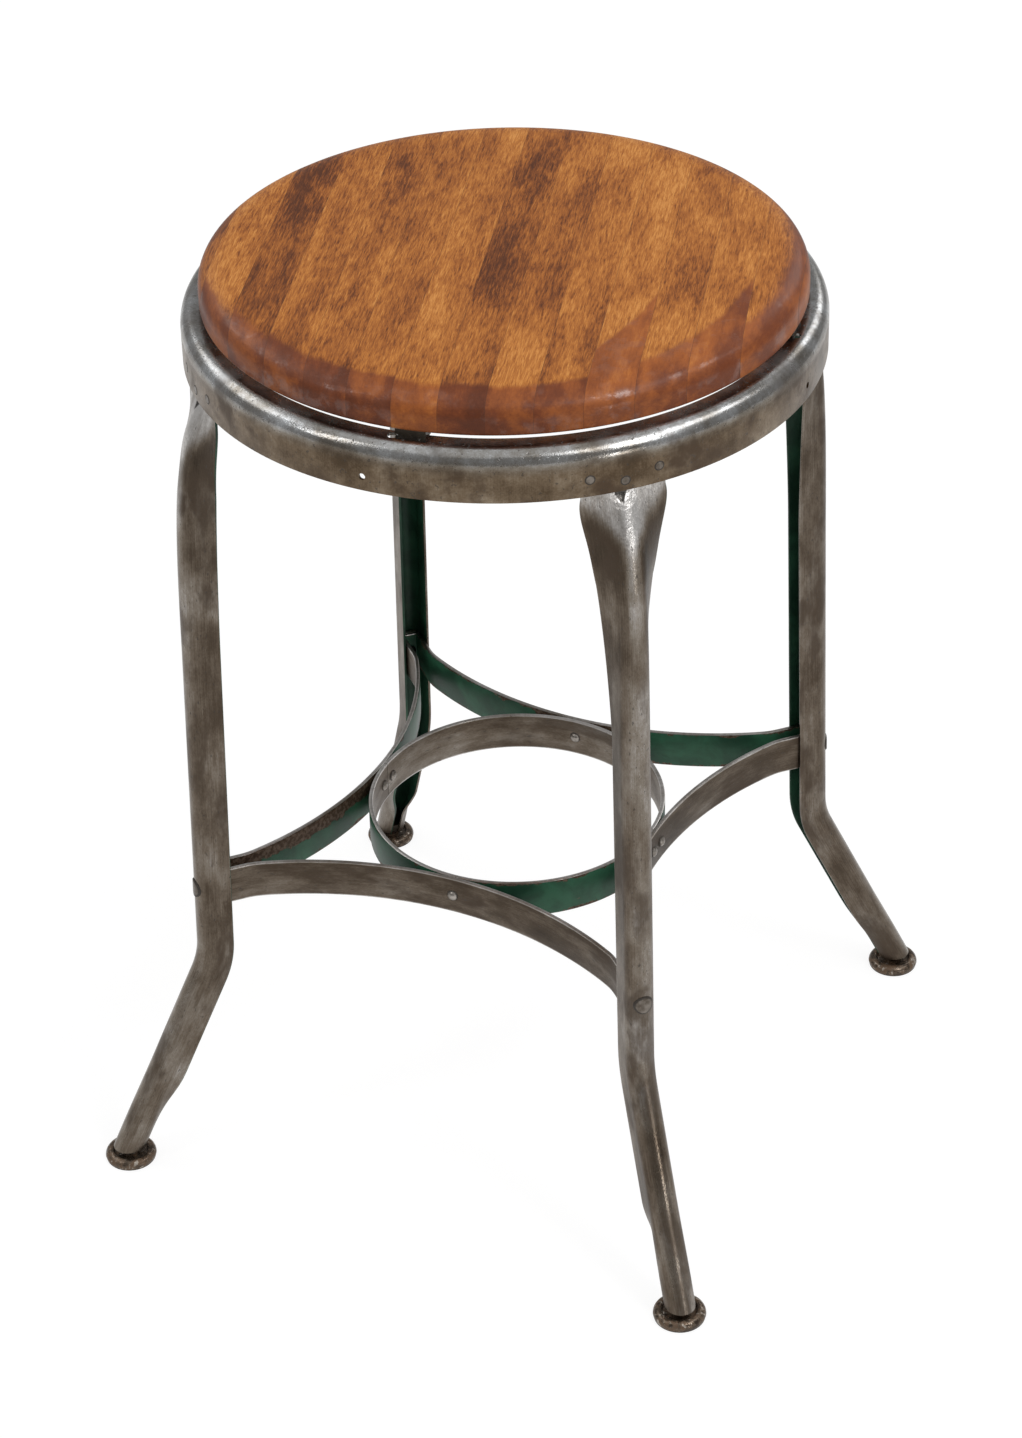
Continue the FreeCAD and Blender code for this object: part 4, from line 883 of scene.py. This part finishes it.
def rivet_steel(name, dull, clear):
    """Rubbed rivet steel, darkened as painted shade where the head meets the sheet, and rougher
    and duller there.
    """
    finish, place = new_finish(name)
    grain, cloud = place.cloud(700, 3.0, 0.6), place.cloud(160, 3.0, 0.6)
    # The crevice where the head meets the sheet: painted shade, rougher and less metallic.
    painted_recess_shade = (place.stored("rim") + grain * 0.12).fade(0.82, 1.00)
    tone = colour_mix(cloud.fade(0.3, 0.7), dull, clear)
    surface(colour_mix(painted_recess_shade * 0.85, tone, (0.030, 0.023, 0.017)),
            grain * 0.16 + 0.22 + painted_recess_shade * 0.30, grain + cloud * 0.6, 0.35, 0.0003,
            {"Metallic": 1.0 - painted_recess_shade * 0.6})
    return finish


def pin(profile, height, beside=0.0, count=28):
    """A pin along +X: a profile of distances along it and radii, spun about its axis."""
    return spun(profile[:, ::-1], count)[..., [2, 0, 1]] + np.array([0, beside, height])


def dome(start, height, radius, count=8):
    """A domed head along +X from its flat side to its crown, as distances and radii. A
    negative height points the other way."""
    ball = (radius**2 + height**2) / (2 * abs(height))
    widest = math.asin(min(radius / ball, 1.0))
    angle = np.linspace(widest, 0, count)
    rise = ball * (np.cos(angle) - math.cos(widest))
    return np.stack([start + math.copysign(1, height) * rise, ball * np.sin(angle)], axis=1)


def rivet_group(name, node, skins, rims, finish):
    """Many closed pins in one piece."""
    points, faces, marks, first = [], [], [], 0
    for skin, rim in zip(skins, rims):
        rows, columns = skin.shape[:2]
        points.append(skin.reshape(-1, 3))
        faces.append(grid_faces(rows, columns, round_rows=True, first=first))
        marks.append(np.broadcast_to(rim, (rows, columns)).ravel())
        first += rows * columns
    piece = new_piece(name, np.concatenate(points), np.concatenate(faces), [finish],
                      None, {"rim": np.concatenate(marks)}, 50.0)
    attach(piece, "frame")
    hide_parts(node)


def leg_rivet_skin(count=36):
    """Head hammered to the round of the leg, shank, and a rounded tail inside the channel."""
    seat = inner_apex - tab_gap - 2 * strip_thick - lap_gap
    radii = np.array([0.0, 2.2, 3.8, 5.0, 5.8, 6.2, 6.3])
    rise = leg_head_rise * np.array([1.0, 1.0, 0.98, 0.95, 0.86, 0.62, 0.05])
    inward = np.array([[seat, 2.4], [seat, 3.3], [seat - 1.1, 3.25], [seat - 1.9, 2.6],
                       [seat - 2.2, 1.4], [seat - 2.2, 0.0]])
    head = pin(np.stack([leg_bend + leg_sheet / 2 + rise, radii], axis=1), 0.0, count=count)
    ball, y, z = (head[..., axis] for axis in range(3))
    lean = math.radians(upper_lean)
    head[..., 0] = (upper_line(strip_middle) - z * math.tan(lean)
                    + np.sqrt(ball**2 - y**2) / math.cos(lean))
    skin = np.concatenate([head, pin(inward, 0.0, count=count)], axis=1)
    rim = np.concatenate([radii / leg_head, np.full(len(inward), 0.6)])
    return skin + np.array([0, 0, strip_middle]), rim


flush_steel = rivet_steel("flush_rivet_steel", (0.100, 0.082, 0.066), (0.215, 0.190, 0.165))
domed_steel = rivet_steel("domed_rivet_steel", (0.180, 0.158, 0.136), (0.410, 0.380, 0.345))
inside = ring_outer - ring_sheet - leg_sheet - snug
flush_profile = np.concatenate([dome(inside, -1.9, 4.2)[::-1], [
    [inside, 2.4], [ring_outer - 1.0, 2.4], [ring_outer - 0.02, 3.1], [ring_outer + 0.10, 2.85],
    [ring_outer + 0.13, 2.5], [ring_outer + 0.10, 1.4], [ring_outer + 0.09, 0.0]]])
flush_rim = np.where(flush_profile[:, 0] > ring_outer - 1, flush_profile[:, 1] / flush_head, 0.5)
skins = [turned_about(pin(flush_profile, ring_bottom + flush_height + flush_rise * abs(place)),
                      heading + flush_spread * place)
         for heading in leg_headings.values() for place in (-1, 0, 1)]
rivet_group("flush_apron_rivets", "apron_rivets", skins, [flush_rim] * len(skins), flush_steel)

skin, rim = leg_rivet_skin()
rivet_group("hammered_leg_rivets", "leg_rivets",
            [turned_about(skin, heading) for heading in leg_headings.values()], [rim] * 4,
            flush_steel)

skins, rims = [], []
long_curve = long_radius - strip_thick / 2
for quarter in range(4):
    for beside in ((-pair_half, pair_half) if quarter % 2 == 0 else (0.0,)):
        near = math.sqrt(hoop_inner**2 - beside**2)
        far = hoop_outer + strip_thick + long_curve - math.sqrt(long_curve**2 - beside**2)
        profile = np.concatenate([dome(near, -2.3, ring_head)[::-1], dome(far, 2.3, ring_head)])
        skins.append(turned_about(pin(profile, strip_middle, beside), 90.0 * quarter))
        rims.append(profile[:, 1] / (ring_head - 0.05))
rivet_group("domed_ring_rivets", "ring_rivets", skins, rims, domed_steel)


# Feet: under each leg a pressed steel glide with a rolled rim and a dished middle, black enamel
# worn to rust. A ball stud in the leg's plug stands in its lined socket, on a flat sole.

def glide_enamel():
    """Worn dark brown enamel, glossy where it is left, with rust, and bright spots that are
    partly rubbed steel and partly painted highlight.
    """
    finish, place = new_finish("worn_glide_enamel")
    cloud, fine = place.cloud(150, 4.0, 0.6, 0.5), place.cloud(620, 3.0, 0.6)
    rust = (cloud + fine * 0.3).fade(0.62, 0.76)
    # Bright spots: bare rubbed steel, partly painted highlight.
    bright = place.cloud(300, 2.0, 0.5).fade(0.60, 0.68)
    colour = colour_mix(cloud.fade(0.35, 0.6), (0.046, 0.032, 0.022), (0.150, 0.112, 0.080))
    colour = colour_mix(rust * 0.7, colour, (0.120, 0.068, 0.036))
    surface(colour_mix(bright * 0.85, colour, (0.420, 0.380, 0.330)),
            rust * 0.35 + 0.15 + fine * 0.12, cloud + fine * 0.5, 0.28, 0.0005,
            {"Metallic": bright * 0.4 + 0.60 - rust * 0.2})
    return finish


def glide_profile():
    """The pressed shell's outline: rim, crest, lip, well, socket, and back underneath."""
    outer, tall, sheet, crest, lip, floor, well = 16.6, 6.5, 1.2, 4.1, 1.4, 3.0, 1.8
    stud, play, liner, ball = 3.2, 0.1, 1.75, 4.5
    socket = stud + play + liner
    socket_out = socket + sheet
    crest_across, well_across = outer - crest, outer - crest - lip

    def across_at(radius, rise):
        """How far out a ball of that radius is at a rise above its middle."""
        return math.sqrt(radius**2 - rise**2)

    corners = [
        (outer - 0.4, 1.0), (outer, tall - crest), (crest_across, tall),
        (well_across, tall - lip), (well_across, floor + well), (well_across - well, floor),
        (across_at(socket_out, ball - floor), floor), (across_at(socket_out, 1.4), ball + 1.4),
        (across_at(socket, 1.4), ball + 1.4), (across_at(socket, 2.2), ball - 2.2),
        (across_at(socket, 2.2), floor - sheet), (well_across - well, floor - sheet),
        (well_across + sheet, floor + well), (well_across + sheet, tall - lip),
        (crest_across, tall - sheet), (outer - sheet, tall - crest), (outer - sheet - 0.4, 1.0)]
    rounds = {1: (crest, 1, 10), 2: (lip, 1, 6), 4: (well, -1, 6), 6: (socket_out, 1, 6),
              8: (socket, -1, 6), 11: (well + sheet, 1, 6), 13: (lip - sheet, -1, 4),
              14: (crest - sheet, -1, 6)}
    return outline(corners, rounds)


enamel, shell = glide_enamel(), glide_profile()
for name, heading in leg_headings.items():
    foot_x, foot_y, _ = turned_about(np.array([foot_circle, 0, 0]), heading)
    skin = spun(shell, 72, (foot_x, foot_y))
    glide = new_piece(f"pressed_glide_{name}", skin, grid_faces(*skin.shape[:2], True, True),
                      [enamel], crease=45.0)
    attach(glide, f"glide_{name}")
    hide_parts(f"glide_shell_{name}")


# Hidden fittings, kept as the source has them: cleats and clips under the seat with their
# screws, and in each foot the plug, the ball stud, its fibre liner and the steel sole.

def plain_steel():
    """Dark oiled steel, turned and sawn, dulled in patches, with tool marks."""
    finish, place = new_finish("plain_fitting_steel")
    cloud, marks = place.cloud(90, 4.0, 0.6, 0.3), place.stretched(1, 1, 12).cloud(520, 2.0, 0.6)
    dull = cloud.fade(0.45, 0.68)
    surface(colour_mix(dull, (0.080, 0.066, 0.052), (0.036, 0.028, 0.021)),
            dull * 0.2 + 0.34 + marks * 0.1, marks + cloud, 0.3, 0.0003,
            {"Metallic": 1.0 - dull * 0.3})
    return finish


def liner_fibre():
    """Pressed red-brown fibre with short flecks."""
    finish, place = new_finish("liner_fibre")
    fleck, cloud = place.cloud(900, 3.0, 0.6), place.cloud(220, 3.0, 0.5)
    surface(colour_mix(fleck.fade(0.4, 0.6), (0.105, 0.040, 0.022), (0.190, 0.080, 0.045)),
            cloud * 0.2 + 0.62, fleck, 0.4, 0.0002)
    return finish


fitting, fibre = plain_steel(), liner_fibre()
for name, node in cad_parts.items():
    if name.startswith(("seat_cleat", "seat_clip", "seat_screws", "leg_plug", "ball_stud",
                        "glide_sole", "socket_liner")):
        node.data.materials.clear()
        node.data.materials.append(fibre if name.startswith("socket_liner") else fitting)
